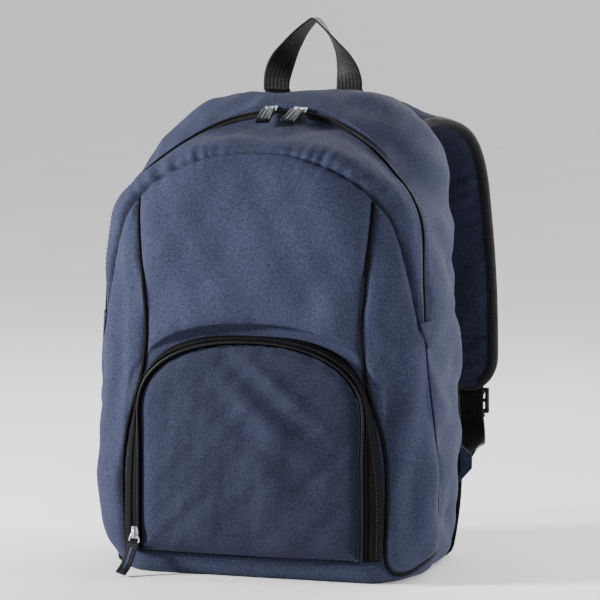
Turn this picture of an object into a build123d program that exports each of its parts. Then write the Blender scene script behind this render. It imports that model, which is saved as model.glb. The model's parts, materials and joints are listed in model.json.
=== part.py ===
from build123d import *
import math
import os

# School backpack, in millimetres. +Z is up, the front faces -Y, +X is the viewer's right.
# The origin is on the floor, under the middle of the bag's base.

# ---- driving dimensions ----
WALL = 3.0              # fabric, foam and lining together
HALF_DEPTH_FRONT = 76.0  # front panel's outer face is at y = -HALF_DEPTH_FRONT
HALF_DEPTH_REAR = 95.0   # back panel's outer face
BASE_THICK = 3.2
FOOT_BELOW = 1.0         # the form runs this far under the floor and is trimmed level at z = 0
SEAM_GAP = 0.1           # between pieces sewn to each other on one body
MOVE_GAP = 0.3           # between pieces that move apart
FAR = 260.0              # reach of the cutting shapes, beyond the bag on every side

# Outline of the bag at each depth: y, foot, bulge at BULGE_Z and shoulder half-widths,
# height where the crown starts, top height, crown roundness.
BULGE_Z = 90.0
SECTIONS = [
    (-76.0, 108.0, 118.0, 101.0, 270.0, 372.0, 2.3),
    (-66.0, 122.0, 138.0, 124.0, 275.0, 381.5, 2.3),
    (-55.0, 130.0, 150.0, 139.0, 278.0, 384.0, 2.25),
    (-38.0, 135.0, 156.0, 148.0, 280.0, 387.0, 2.2),
    (2.0, 138.0, 156.0, 149.5, 281.0, 404.0, 2.2),
    (28.0, 138.0, 155.0, 146.0, 287.0, 417.0, 2.4),
    (50.0, 138.0, 152.0, 141.0, 295.0, 424.0, 2.7),
    (73.0, 136.0, 147.0, 133.0, 304.0, 424.0, 2.95),
    (95.0, 132.0, 141.0, 124.0, 312.0, 420.0, 3.2),
]

# Main zip: its top is an arc of a circle in a tilted plane, its legs run down both sides.
ZIP_CENTRE = Vector(0.0, -77.4, 283.7)
ZIP_RADIUS = 150.0
ZIP_TILT = 34.7          # degrees that the arc's plane leans back from upright
ZIP_LEAN = 50.0          # degrees from the arc's radius to the fabric's normal
ZIP_ARC = 54.0           # degrees of arc each side of the top
ZIP_LEG = [(-27.0, 356.5), (-37.5, 316.0), (-43.5, 285.0), (-45.0, 250.0), (-45.0, 212.0)]
SIDE_SEAM = [(-45.0, 212.0), (-39.0, 150.0), (-33.0, 95.0), (-20.0, 48.0), (2.0, 18.0), (20.0, -10.0)]
TAPE = 4.0               # tape and coil, each side of the zip line
COIL = 1.9
GROOVE = 7.3             # half-width of the channel the sliders run in
TAPE_LOW = 227.0         # height where the tapes of both legs end
PATCH_LOW = 212.5        # lower edge of the patches that close the zip's ends

# Main sliders and pullers
SLIDER_LONG = 11.0
SLIDER_HALF = 4.5
PLATE_LOW, PLATE_HIGH = 1.7, 3.6
LUG_TOP = 6.4
PIN_HIGH = 5.2           # pin's height above the zip's surface
PIN_BACK = -1.5
PIN_RADIUS = 0.9
PULLER_TILT = -6.0       # degrees the puller rises from the fabric; negative hangs over its slope
TAB_WIDE, TAB_LONG, TAB_THICK = 12.0, 24.0, 3.6
LINK_LONG = 6.0
LEFT_SLIDER, RIGHT_SLIDER = -4.0, 6.5   # degrees along the zip's arc

# Lid: everything ahead of the main zip, folding forward about a line through the zip's ends.
LID_AXIS = (-45.0, 230.0)
LID_LIFT = 6.0           # lid fabric starts this far above the axis
LID_SLOPE = 30.0         # degrees its lower edge rises towards the front
FOLD_DROP = 4.0          # body fabric stops this far below the axis
FOLD_SLOPE = 20.0        # degrees its upper edge drops towards the front

# Seams on the front, as (x, z), for the right side.
ARCH_SEAM = [(0, 380), (49, 371), (88, 354), (109, 336), (120, 318), (129, 290), (135, 256), (140, 222)]
PIPING = [(114, 400), (110, 334), (102, 260), (99, 216), (103, 181), (118, 130), (123, 82), (121, 23),
          (126, 10), (138, 10), (154, 21), (180, 36)]
PIPING_HALF = 1.5
STRIP_TOP = 20.0         # pocket's bottom seam

# Pocket
POCKET_HALF = 101.0
POCKET_SPRING = 148.0
POCKET_TOP = 208.0
POCKET_ROUND = 2.25
SURROUND = [(118.5, 22), (119, 85), (114.5, 125), (109.5, 150), (102.5, 172), (88, 194), (62, 208.5), (0, 215)]
POCKET_BOTTOM = 22.0
POCKET_FRONT = 88.0      # flap's outer face is at y = -POCKET_FRONT
POCKET_SKIN = 3.4
SURROUND_FRONT = 84.0
COIL_X = -POCKET_HALF - 4.6
POCKET_SLIDER_Z = 38.0

# Shoulder straps, right side: centre, half-width and width direction, from the top anchor down.
STRAP_PATH = [
    ((80.0, 95.6, 402.0), (0.94, 0.0, -0.33), 31.0),
    ((88.0, 117.0, 404.0), (0.94, 0.05, -0.34), 31.5),
    ((104.0, 146.0, 389.0), (0.93, 0.05, -0.36), 31.0),
    ((116.0, 162.0, 358.0), (0.98, 0.05, -0.2), 29.5),
    ((123.0, 166.0, 318.0), (1.0, 0.0, -0.08), 28.0),
    ((127.0, 167.0, 272.0), (1.0, 0.0, -0.06), 28.0),
    ((130.0, 166.0, 222.0), (1.0, 0.0, -0.03), 28.0),
    ((131.0, 165.0, 180.0), (1.0, 0.0, 0.0), 27.0),
    ((131.0, 165.0, 158.0), (1.0, 0.0, 0.0), 22.0),
    ((131.0, 165.0, 143.0), (1.0, 0.0, 0.0), 14.0),
]
YOKE_SECTIONS = 2        # first sections of the path, sewn into the rear seam
STRAP_THICK = 10.0
BINDING_WIDE = 9.0
WEBBING_WIDE = 25.0
WEBBING_THICK = 1.6
HANDLE_THICK = 2.2
HANDLE_HALF_SPAN = 35.0
HANDLE_AXIS_Z = 425.0
LOCK_CENTRE = Vector(131.0, 173.5, 134.0)
LOCK_WIDE, LOCK_TALL, LOCK_THICK, LOCK_BAR = 35.0, 24.0, 4.0, 4.0
TAB_APEX = (153.0, 93.7, 90.0)

# Rear seam and inside
BACK_FACE = HALF_DEPTH_REAR - WALL      # back panel's inner side
REAR_BINDING = 3.4
FOAM = (210.0, 7.0, 330.0)
STIFFENER = (216.0, 130.0, 2.4)


# ---- helpers ----
def mirrored(shape):
    """The same piece on the other side of the bag."""
    return mirror(shape, about=Plane.YZ)


def both_sides(points):
    """A right-hand outline that ends on the centre line, carried round to the left."""
    return list(points) + [(-x, z) for x, z in reversed(points[:-1])]


def crown_points(half, spring, top, roundness, steps):
    """Superellipse quarter from just above (half, spring) to (0, top)."""
    points = []
    for step in range(1, steps + 1):
        turn = math.radians(90.0 * step / steps)
        x = half * max(math.cos(turn), 0.0) ** (2 / roundness)
        z = spring + (top - spring) * math.sin(turn) ** (2 / roundness)
        points.append((0.0 if step == steps else x, z))
    return points


def offset_points(points, amount):
    """The points of an open line, moved sideways: to its left for a positive amount."""
    moved = []
    last = len(points) - 1
    for i, (x, z) in enumerate(points):
        before = points[max(i - 1, 0)]
        after = points[min(i + 1, last)]
        run = math.hypot(after[0] - before[0], after[1] - before[1])
        moved.append((x - amount * (after[1] - before[1]) / run, z + amount * (after[0] - before[0]) / run))
    return moved


def along_y(edges, y_low, y_high):
    """Solid between two depths, from a closed outline drawn at y = 0."""
    face = Pos(0, y_low, 0) * Face(Wire(edges))
    return Part() + extrude(face, amount=y_high - y_low, dir=(0, 1, 0))


def along_x(edges):
    """Solid across the whole width, from a closed outline drawn at x = 0."""
    face = Pos(-FAR, 0, 0) * Face(Wire(edges))
    return Part() + extrude(face, amount=2 * FAR, dir=(1, 0, 0))


def slab(y_low, y_high):
    return Pos(0, (y_low + y_high) / 2, 200) * Box(2 * FAR, y_high - y_low, 2 * FAR + 200)


def layer(z_low, z_high):
    return Pos(0, 0, (z_low + z_high) / 2) * Box(2 * FAR, 2 * FAR, z_high - z_low)


def side(sign):
    """Half space on one side of the bag, a seam's gap off the middle."""
    return Pos(sign * (FAR + SEAM_GAP), 0, 200) * Box(2 * FAR, 2 * FAR, 2 * FAR + 200)


def flat(x_z):
    return [Vector(x, 0, z) for x, z in x_z]


def upright(y_z):
    return [Vector(0, y, z) for y, z in y_z]


def block(centre, width_dir, thick_dir, wide, thick, long):
    """Small box with its width and thickness along the given directions."""
    plane = Plane(origin=centre, x_dir=width_dir, z_dir=Vector(*width_dir).cross(Vector(*thick_dir)))
    return Part() + plane * Box(wide, thick, long)


# ---- bag body ----
def arch_points(foot, bulge, shoulder, spring, top, roundness, inset):
    """Outline of one section, from its right foot over the crown to its left foot."""
    right = [
        (foot - inset, BASE_THICK if inset else -FOOT_BELOW),
        (0.3 * foot + 0.7 * bulge - inset, 0.42 * BULGE_Z),
        (bulge - inset, BULGE_Z),
        (0.5 * (bulge + shoulder) - inset, 0.5 * (BULGE_Z + spring)),
        (shoulder - inset, spring),
    ] + crown_points(shoulder - inset, spring, top - inset, roundness, 6)
    return both_sides(right)


def spacing(points):
    """Share of the whole line at which each point lies."""
    reached = [0.0]
    for (x, z), (next_x, next_z) in zip(points, points[1:]):
        reached.append(reached[-1] + math.hypot(next_x - x, next_z - z))
    return [length / reached[-1] for length in reached]


def arch_wire(y, shape, inset):
    """Closed outline of the bag at depth y; every section shares one spacing, so the loft stays fair."""
    shares = spacing(arch_points(*SECTIONS[len(SECTIONS) // 2][1:], 0.0))
    points = arch_points(*shape, inset)
    outline = Edge.make_spline([Vector(x, y, z) for x, z in points], parameters=shares)
    return Wire([outline, Line(outline @ 1, outline @ 0)])


def bag_solid(inset):
    """Filled form of the bag, shrunk by the wall for its inside."""
    wires = []
    for index, (y, *shape) in enumerate(SECTIONS):
        if index == 0:
            y += inset
        if index == len(SECTIONS) - 1:
            y -= inset
        wires.append(arch_wire(y, shape, inset))
    return Part() + Solid.make_loft(wires)


def zip_line(shift, z_top=470.0):
    """Edges of the zip seen from the side, from high above the bag to the leg's lower end."""
    lean = math.radians(ZIP_TILT)
    start_y, start_z = ZIP_LEG[0]
    rise = z_top - start_z
    top = Vector(0, start_y + rise * math.tan(lean) + shift, z_top)
    leg = Spline(*[v + Vector(0, shift, 0) for v in upright(ZIP_LEG)],
                 tangents=[(0, -math.sin(lean), -math.cos(lean)), (0, 0, -1)])
    return [Line(top, leg @ 0), leg]


def ahead_of_gusset():
    """Everything ahead of the rear gusset, its zip tape and the side seams included."""
    zip_edges = zip_line(TAPE)
    seam = Spline(*upright(SIDE_SEAM))
    top = zip_edges[0] @ 0
    step = Line(zip_edges[1] @ 1, seam @ 0)
    front = Polyline(seam @ 1, Vector(0, -FAR, -10), Vector(0, -FAR, 470), top)
    return along_x(zip_edges + [step, seam] + front.edges())


def zip_band(near, far):
    """Band that follows the zip's legs, between two distances behind its line."""
    edges = zip_line(near)
    other = zip_line(far)
    return along_x(edges + other + [Line(edges[0] @ 0, other[0] @ 0), Line(edges[1] @ 1, other[1] @ 1)])


def lid_region(shift):
    """Space of the lid: ahead of the zip and above the fold."""
    low_z = LID_AXIS[1] + LID_LIFT
    cut_z = low_z + (FAR + LID_AXIS[0]) * math.tan(math.radians(LID_SLOPE))
    edges = zip_line(shift)
    end = edges[1] @ 1
    corner = Vector(0, LID_AXIS[0], low_z)
    front = Polyline(end, Vector(0, -FAR, end.Z), Vector(0, -FAR, 470), edges[0] @ 0)
    wedge = Polyline(corner, Vector(0, -FAR, cut_z), Vector(0, -FAR, 100), Vector(0, 40, 100),
                     Vector(0, 40, low_z), corner)
    return along_x(edges + front.edges()) - along_x(wedge.edges())


def below_fold(rise):
    """Space under the body's upper edge at the fold, or under the lid's lower edge."""
    if rise:
        corner_z, slope = LID_AXIS[1] + LID_LIFT - 2 * MOVE_GAP, LID_SLOPE
    else:
        corner_z, slope = LID_AXIS[1] - FOLD_DROP, -FOLD_SLOPE
    edge_z = corner_z + (FAR + LID_AXIS[0]) * math.tan(math.radians(slope))
    corners = upright([(60, corner_z), (LID_AXIS[0], corner_z), (-FAR, edge_z), (-FAR, -40), (60, -40)])
    return along_x(Polyline(*corners, close=True).edges())


def centre_column(widen):
    """Space between the two pipings, widened on both sides."""
    points = offset_points(PIPING, widen)
    right = Spline(*flat(points))
    left = Spline(*flat([(-x, z) for x, z in points]))
    low = Polyline(right @ 1, Vector((right @ 1).X, 0, -40), Vector((left @ 1).X, 0, -40), left @ 1)
    return along_y([right, left, Line(right @ 0, left @ 0)] + low.edges(), -FAR, 60.0)


def arch_column(widen):
    """Space inside the seam between the front and its crescent gusset."""
    right = [(x + (widen if x else 0.0), z + (widen if x < 100 else 0.0)) for x, z in ARCH_SEAM]
    edge = Spline(*flat(both_sides(right[::-1])))
    low = Polyline(edge @ 1, Vector((edge @ 1).X, 0, 120), Vector((edge @ 0).X, 0, 120), edge @ 0)
    return along_y([edge] + low.edges(), -FAR, 0.0)


def arc_frame(degrees):
    """Point of the zip's arc with its radius, forward axis, fabric normal and rearward direction."""
    lean = math.radians(ZIP_TILT)
    turn = math.radians(degrees)
    up = Vector(0, math.sin(lean), math.cos(lean))
    forward = Vector(0, -math.cos(lean), math.sin(lean))
    radius = Vector(1, 0, 0) * math.sin(turn) + up * math.cos(turn)
    tangent = Vector(1, 0, 0) * math.cos(turn) - up * math.sin(turn)
    tip = math.radians(ZIP_LEAN)
    normal = radius * math.cos(tip) + forward * math.sin(tip)
    rearward = radius * math.sin(tip) - forward * math.cos(tip)
    return ZIP_CENTRE + radius * ZIP_RADIUS, forward, tangent, normal, rearward


def arc_ring(back_low, back_high, normal_low, normal_high, reach=ZIP_ARC):
    """Band swept along the zip's arc; its section is given off the zip line."""
    point, forward, _, normal, rearward = arc_frame(-reach)
    corners = [point + rearward * b + normal * n for b, n in
               [(back_low, normal_low), (back_high, normal_low), (back_high, normal_high), (back_low, normal_high)]]
    face = Face(Wire(Polyline(*corners, close=True).edges()))
    swept = revolve(face, axis=Axis(ZIP_CENTRE, forward * -1), revolution_arc=2 * reach)
    return Part() + swept


# ---- main slider and its puller ----
def main_slider(degrees):
    point, _, tangent, normal, rearward = arc_frame(degrees)
    plate_mid = (PLATE_LOW + PLATE_HIGH) / 2
    top = block(point + normal * plate_mid, rearward, normal, 2 * SLIDER_HALF, PLATE_HIGH - PLATE_LOW, SLIDER_LONG)
    under = block(point - normal * plate_mid - rearward * SLIDER_HALF / 2, rearward, normal,
                  SLIDER_HALF - 0.4, PLATE_HIGH - PLATE_LOW, SLIDER_LONG)
    lugs = Part()
    for sign in (-1, 1):
        base = point + tangent * sign * 4.2 + rearward * PIN_BACK
        lugs += block(base + normal * (PLATE_HIGH + LUG_TOP) / 2, rearward, normal, 3.2, LUG_TOP - PLATE_HIGH, 1.2)
    return top + under + lugs


def puller_pin(degrees):
    """Middle of the pin the puller turns on, with the directions of the puller lying at rest."""
    point, _, tangent, normal, rearward = arc_frame(degrees)
    tilt = math.radians(PULLER_TILT)
    ahead = rearward * -math.cos(tilt) + normal * math.sin(tilt)
    above = rearward * math.sin(tilt) + normal * math.cos(tilt)
    return point + rearward * PIN_BACK + normal * PIN_HIGH, tangent, ahead, above


def main_puller_link(degrees):
    pin, tangent, ahead, above = puller_pin(degrees)
    barrel = Plane(origin=pin, z_dir=tangent) * Cylinder(PIN_RADIUS, 6.8)
    arms = Part()
    for sign in (-1, 1):
        arms += block(pin + tangent * sign * 2.4 + ahead * LINK_LONG / 2, ahead, above, LINK_LONG, 1.2, 1.2)
    return Part() + barrel + arms


def main_puller(degrees):
    pin, tangent, ahead, above = puller_pin(degrees)
    middle = pin + ahead * (LINK_LONG + SEAM_GAP + TAB_LONG / 2)
    tab = block(middle, ahead, above, TAB_LONG, TAB_THICK, TAB_WIDE)
    return fillet(tab.edges().filter_by(Axis(middle, above)), 2.0)


# ---- pocket ----
def pocket_outline(grow):
    """Closed outline of the pocket's flap, grown outward along its sides and top."""
    half = POCKET_HALF + grow
    leg = [(half, POCKET_BOTTOM), (half, 85.0), (half, POCKET_SPRING - 20)]
    crown = crown_points(half, POCKET_SPRING, POCKET_TOP + grow, POCKET_ROUND, 5)
    edge = Spline(*flat(both_sides(leg + crown)))
    return [edge, Line(edge @ 1, edge @ 0)]


def surround_outline():
    edge = Spline(*flat(both_sides(SURROUND)))
    return [edge, Line(edge @ 1, edge @ 0)]


def pocket_pieces():
    wall = -HALF_DEPTH_FRONT - SEAM_GAP
    hole = along_y(pocket_outline(3.4), -FAR, 0)
    surround = along_y(surround_outline(), -SURROUND_FRONT, wall) - hole
    ring = along_y(pocket_outline(3.2), -SURROUND_FRONT - 3.6, wall) - along_y(pocket_outline(0.9), -FAR, 0)
    flap = along_y(pocket_outline(0.0), -POCKET_FRONT, -POCKET_FRONT + POCKET_SKIN)
    rim = flap - along_y(pocket_outline(-5.0), -FAR, 0) & layer(POCKET_BOTTOM + 6, 400)
    return surround, ring, flap - rim, rim


def pocket_slider():
    """Slider on the left leg of the pocket's zip, ahead of the coil."""
    y = -SURROUND_FRONT - 4.2
    body = Pos(COIL_X, y - 1.0, POCKET_SLIDER_Z) * Box(7.4, 2.0, 11.0)
    bridge = Pos(COIL_X, y - 3.2, POCKET_SLIDER_Z) * Box(2.4, 2.4, 7.0)
    return Part() + body + bridge - Pos(COIL_X, y - 3.0, POCKET_SLIDER_Z - 1.5) * Rot(0, 90, 0) * Cylinder(0.9, 8)


def pocket_pin():
    return Vector(COIL_X, -SURROUND_FRONT - 7.2, POCKET_SLIDER_Z - 1.5)


def pocket_ring():
    """Wire ring through the slider's bridge, open in the middle."""
    pin = pocket_pin()
    wire = Pos(pin) * Rot(0, 90, 0) * Cylinder(0.75, 6.0)
    for sign in (-1, 1):
        wire += Pos(pin + Vector(sign * 2.8, 0, -4.0)) * Box(1.4, 1.5, 8.0)
    return Part() + wire + Pos(pin + Vector(0, 0, -8.5)) * Box(7.0, 1.5, 1.5)


def pocket_puller():
    """Webbing tail hanging from the ring and curving forward as it nears the floor."""
    pin = pocket_pin()
    path = [(0, 0, -10.0), (-1.0, -0.5, -16.0), (-2.6, -3.0, -24.0), (-5.0, -8.5, -31.0), (-7.0, -14.5, -34.2)]
    wires = []
    for index, offset in enumerate(path):
        after = path[min(index + 1, len(path) - 1)]
        before = path[max(index - 1, 0)]
        run = Vector(*after) - Vector(*before)
        across = run.cross(Vector(0, -1, 0.2)).normalized() * -1
        thick = across.cross(run).normalized()
        wires.append(strip_wire(pin + Vector(*offset), across, thick, -4.8, 4.8, -1.1, 1.1))
    return Part() + Solid.make_loft(wires, True)


# ---- straps ----
def strip_wire(centre, across, thick, low, high, under, over):
    corners = [centre + across * w + thick * t for w, t in [(low, under), (high, under), (high, over), (low, over)]]
    return Wire(Polyline(*corners, close=True).edges())


def strap_frames():
    """Centre, width direction, outward direction and half-width of each strap section."""
    frames = []
    last = len(STRAP_PATH) - 1
    for index, (centre, across, half) in enumerate(STRAP_PATH):
        run = Vector(*STRAP_PATH[min(index + 1, last)][0]) - Vector(*STRAP_PATH[max(index - 1, 0)][0])
        across = Vector(*across).normalized()
        outward = across.cross(run).normalized()
        if index < last and outward.Y + outward.Z < 0:
            outward = outward * -1
        if index == last and outward.Y < 0:
            outward = outward * -1
        across = run.cross(outward).normalized()
        if across.X < 0:
            across = across * -1
        frames.append((Vector(*centre), across, outward, half))
    return frames


def strap_strip(frames, from_edge, to_edge, under, over):
    """Strip along the strap; its edges are fractions of the half-width plus millimetres."""
    wires = []
    for centre, across, outward, half in frames:
        low = from_edge[0] * half + from_edge[1]
        high = to_edge[0] * half + to_edge[1]
        wires.append(strip_wire(centre, across, outward, low, high, under, over))
    return Part() + Solid.make_loft(wires, True)


def shoulder_strap():
    frames = strap_frames()
    half_thick = STRAP_THICK / 2
    yoke = strap_strip(frames[:YOKE_SECTIONS], (-1, 0), (1, 0), -half_thick, half_thick)
    moving = frames[YOKE_SECTIONS - 1:]
    start = moving[0]
    gap = (moving[1][0] - start[0]).normalized() * 2 * MOVE_GAP
    moving = [(start[0] + gap, *start[1:])] + moving[1:]
    pad = strap_strip(moving, (-1, BINDING_WIDE), (1, -BINDING_WIDE), -half_thick, half_thick)
    inner = strap_strip(moving, (-1, 0), (-1, BINDING_WIDE - 0.2), -half_thick + 1, half_thick - 1)
    outer = strap_strip(moving, (1, 0.2 - BINDING_WIDE), (1, 0), -half_thick + 1, half_thick - 1)
    return yoke, pad, inner + outer


def ladder_lock():
    """Plastic frame with three bars, one loop above for the keeper and one below for the webbing."""
    frame = Box(LOCK_WIDE, LOCK_THICK, LOCK_TALL)
    slot_tall = (LOCK_TALL - 3 * LOCK_BAR) / 2
    for sign in (-1, 1):
        frame -= Pos(0, 0, sign * (LOCK_BAR + slot_tall) / 2) * Box(WEBBING_WIDE + 1.4, 10, slot_tall)
    return Part() + Pos(LOCK_CENTRE) * frame


def keeper_webbing():
    """Webbing sewn down the strap's outer face, round the lock's top bar."""
    y = STRAP_PATH[-2][0][1] + STRAP_THICK / 2 + 0.1
    front = Pos(131.0, y + WEBBING_THICK / 2, 167.0) * Box(WEBBING_WIDE, WEBBING_THICK, 36.0)
    return Part() + front


def lower_webbing():
    """Webbing from the lock down to the tab on the bag's side."""
    path = [(131.0, 173.3, 121.0), (132.0, 171.6, 112.0), (134.5, 164.0, 101.5), (139.0, 148.0, 94.0),
            (145.0, 126.0, 90.5), (149.5, 105.0, 90.0)]
    wires = []
    last = len(path) - 1
    for index, centre in enumerate(path):
        run = Vector(*path[min(index + 1, last)]) - Vector(*path[max(index - 1, 0)])
        across = Vector(1, 0, 0) if index < 3 else Vector(0.94, 0.3, 0.1 * index)
        outward = across.cross(run).normalized()
        across = run.cross(outward).normalized()
        wires.append(strip_wire(Vector(*centre), across, outward, -WEBBING_WIDE / 2, WEBBING_WIDE / 2,
                                -WEBBING_THICK / 2, WEBBING_THICK / 2))
    return Part() + Solid.make_loft(wires, True)


def strap_tab():
    """Triangle of body fabric sewn into the rear side seam."""
    corners = [Vector(128, 92.2, 112), Vector(130, 92.2, 60), Vector(TAB_APEX[0], 92.2, TAB_APEX[2] - 3),
               Vector(TAB_APEX[0], 92.2, TAB_APEX[2] + 3)]
    face = Face(Wire(Polyline(*corners, close=True).edges()))
    return Part() + extrude(face, amount=2.6, dir=(0, 1, 0))


# ---- handle ----
def handle_leg():
    """Right half of the webbing loop: broadside at its foot, turned edge-on at the crease."""
    start_z = HANDLE_AXIS_Z + 1.2
    path = [(HANDLE_HALF_SPAN, 96.2, start_z, 0), (33.0, 97.0, 436.0, 4), (24.0, 99.5, 456.0, 28),
            (11.0, 102.5, 476.0, 62), (0.0, 104.0, 489.0, 90)]
    wires = []
    last = len(path) - 1
    for index, (x, y, z, turn) in enumerate(path):
        after, before = path[min(index + 1, last)], path[max(index - 1, 0)]
        run = Vector(after[0] - before[0], after[1] - before[1], after[2] - before[2]).normalized()
        if index == 0:
            run = Vector(0, 0, 1)
        if index == last:
            run = Vector(-1, 0, 0)
        angle = math.radians(turn)
        wish = Vector(math.cos(angle), math.sin(angle), 0)
        outward = wish.cross(run).normalized()
        across = run.cross(outward).normalized()
        wires.append(strip_wire(Vector(x, y, z), across, outward, -WEBBING_WIDE / 2, WEBBING_WIDE / 2,
                                -HANDLE_THICK / 2, HANDLE_THICK / 2))
    return Part() + Solid.make_loft(wires)


def handle_feet():
    """Webbing ends sewn to the back panel under the loop."""
    foot = Pos(HANDLE_HALF_SPAN, 96.2, 412.0) * Box(WEBBING_WIDE, HANDLE_THICK - 0.2, 23.0)
    return Part() + foot + mirrored(foot)


# ---- assembly ----
def bag_nodes():
    """Pieces cut from the bag's shell."""
    nodes = {}
    outer = bag_solid(0.0)
    shell = outer - bag_solid(WALL)
    groove = arc_ring(-GROOVE, GROOVE, -5.0, 6.5, ZIP_ARC + 0.5)
    nodes["base_panel"] = shell & layer(0, BASE_THICK)
    walls = (shell & layer(BASE_THICK + SEAM_GAP, 500)) - groove
    nodes["back_panel"] = walls & slab(BACK_FACE, FAR)
    nodes["rear_seam_binding"] = walls & slab(BACK_FACE - REAR_BINDING, BACK_FACE - SEAM_GAP)
    ahead = ahead_of_gusset()
    nodes["rear_gusset"] = (walls & slab(-FAR, BACK_FACE - REAR_BINDING - SEAM_GAP)) - ahead
    front = walls & ahead
    nodes["main_zip_tape_rear"] = (front & zip_band(COIL + SEAM_GAP, TAPE - SEAM_GAP) & layer(TAPE_LOW, 500))
    nodes["main_zip_coil_rear"] = (front & zip_band(MOVE_GAP, COIL) & layer(TAPE_LOW, 500))
    nodes["main_zip_tape_rear"] += arc_ring(COIL + SEAM_GAP, GROOVE - SEAM_GAP, -0.6, 0.6)
    nodes["main_zip_coil_rear"] += arc_ring(MOVE_GAP, COIL, -1.3, 1.3)

    arch_in, arch_out = arch_column(-SEAM_GAP), arch_column(0.0)
    column_in, column_out = centre_column(-PIPING_HALF), centre_column(PIPING_HALF)
    lid_fabric = walls & lid_region(-TAPE)
    nodes["front_gusset"] = lid_fabric - arch_out
    lid_front = lid_fabric & arch_in
    nodes["front_upper_panel"] = lid_front & column_in
    lid_cord = (lid_front & column_out) - centre_column(SEAM_GAP - PIPING_HALF)
    lid_wings = lid_front - centre_column(PIPING_HALF + SEAM_GAP)
    lid_edge = walls & lid_region(-MOVE_GAP)
    nodes["main_zip_tape_front"] = lid_edge & zip_band(SEAM_GAP - TAPE, -COIL - SEAM_GAP)
    nodes["main_zip_coil_front"] = lid_edge & zip_band(-COIL, -MOVE_GAP)
    nodes["main_zip_tape_front"] += arc_ring(SEAM_GAP - GROOVE, -COIL - SEAM_GAP, -0.6, 0.6)
    nodes["main_zip_coil_front"] += arc_ring(-COIL, -MOVE_GAP, -1.3, 1.3)

    side_front = front - zip_band(-TAPE - 1.0, TAPE + 1.0)
    patches = front & zip_band(-TAPE - 1.0, TAPE) & layer(PATCH_LOW, LID_AXIS[1] - FOLD_DROP - 0.5)
    beside_patch = (front - slab(LID_AXIS[0] - TAPE - 1.2, FAR)) & layer(PATCH_LOW - 0.5, 500)
    low_front = (beside_patch + (front & layer(0, PATCH_LOW - 0.5))) & below_fold(False)
    nodes["front_lower_panel"] = low_front & column_in & layer(STRIP_TOP + SEAM_GAP, 400)
    nodes["front_base_strip"] = low_front & column_in & layer(0, STRIP_TOP)
    low_cord = (low_front & column_out) - centre_column(SEAM_GAP - PIPING_HALF)
    low_wings = low_front - centre_column(PIPING_HALF + SEAM_GAP)
    fold = (side_front & below_fold(True)) - below_fold(False)
    nodes["front_fold_band"] = fold - slab(LID_AXIS[0] - GROOVE + 0.3, FAR)
    for name, sign in (("left", -1), ("right", 1)):
        half = side(sign)
        nodes[f"{name}_wing_upper"] = lid_wings & half
        nodes[f"{name}_piping_upper"] = lid_cord & half
        nodes[f"{name}_wing_lower"] = low_wings & half
        nodes[f"{name}_piping_lower"] = low_cord & half
        nodes[f"{name}_zip_end_patch"] = patches & half
    return nodes, outer


def all_nodes():
    nodes, outer = bag_nodes()
    nodes["base_stiffener"] = Part() + Pos(0, 8, BASE_THICK + 1.6) * Box(*STIFFENER)
    nodes["back_foam"] = Part() + Pos(0, BACK_FACE - 4.4, 195) * Box(*FOAM)
    surround, ring, flap, rim = pocket_pieces()
    nodes["pocket_zip_surround"] = surround
    nodes["pocket_zip_coil"] = ring
    nodes["pocket_panel"] = flap
    nodes["pocket_zip_tape"] = rim
    nodes["pocket_slider"] = pocket_slider()
    nodes["pocket_ring"] = pocket_ring()
    nodes["pocket_puller"] = pocket_puller()
    nodes["handle_feet"] = handle_feet()
    leg = handle_leg()
    nodes["handle_loop"] = leg + mirrored(leg)
    for name, degrees in (("left", LEFT_SLIDER), ("right", RIGHT_SLIDER)):
        nodes[f"{name}_main_slider"] = main_slider(degrees)
        nodes[f"{name}_main_puller_link"] = main_puller_link(degrees)
        nodes[f"{name}_main_puller"] = main_puller(degrees)
    yoke, pad, binding = shoulder_strap()
    right_side = {
        "strap_yoke": yoke - outer,
        "strap_pad": pad,
        "strap_binding": binding,
        "keeper_webbing": keeper_webbing(),
        "ladder_lock": ladder_lock(),
        "lower_webbing": lower_webbing(),
        "strap_tab": strap_tab() - outer,
    }
    for name, piece in right_side.items():
        nodes[f"right_{name}"] = piece
        nodes[f"left_{name}"] = mirrored(piece)
    return nodes


os.makedirs("parts", exist_ok=True)
for node, shape in all_nodes().items():
    export_step(shape, f"parts/{node}.step")
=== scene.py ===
import bmesh
import bpy
import json
import math
import numpy as np
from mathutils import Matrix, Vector
from mathutils.kdtree import KDTree


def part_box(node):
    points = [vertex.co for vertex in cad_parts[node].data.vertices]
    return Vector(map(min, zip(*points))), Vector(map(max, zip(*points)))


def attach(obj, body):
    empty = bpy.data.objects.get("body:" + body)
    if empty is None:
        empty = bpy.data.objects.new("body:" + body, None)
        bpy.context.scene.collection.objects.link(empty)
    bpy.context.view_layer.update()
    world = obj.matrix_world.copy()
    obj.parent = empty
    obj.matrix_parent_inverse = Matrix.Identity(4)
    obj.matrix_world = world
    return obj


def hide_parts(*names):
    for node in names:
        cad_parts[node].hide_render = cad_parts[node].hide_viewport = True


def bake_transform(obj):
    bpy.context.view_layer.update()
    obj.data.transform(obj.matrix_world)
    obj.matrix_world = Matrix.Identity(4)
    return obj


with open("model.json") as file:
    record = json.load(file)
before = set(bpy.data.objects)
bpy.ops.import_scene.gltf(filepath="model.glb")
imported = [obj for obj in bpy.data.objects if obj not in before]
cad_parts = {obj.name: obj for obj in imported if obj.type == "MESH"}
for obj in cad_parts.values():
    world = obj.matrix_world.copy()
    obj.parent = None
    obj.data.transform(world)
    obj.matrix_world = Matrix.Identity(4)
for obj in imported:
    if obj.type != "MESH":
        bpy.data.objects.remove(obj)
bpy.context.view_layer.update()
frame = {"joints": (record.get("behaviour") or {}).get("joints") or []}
MM = 0.001

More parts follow.
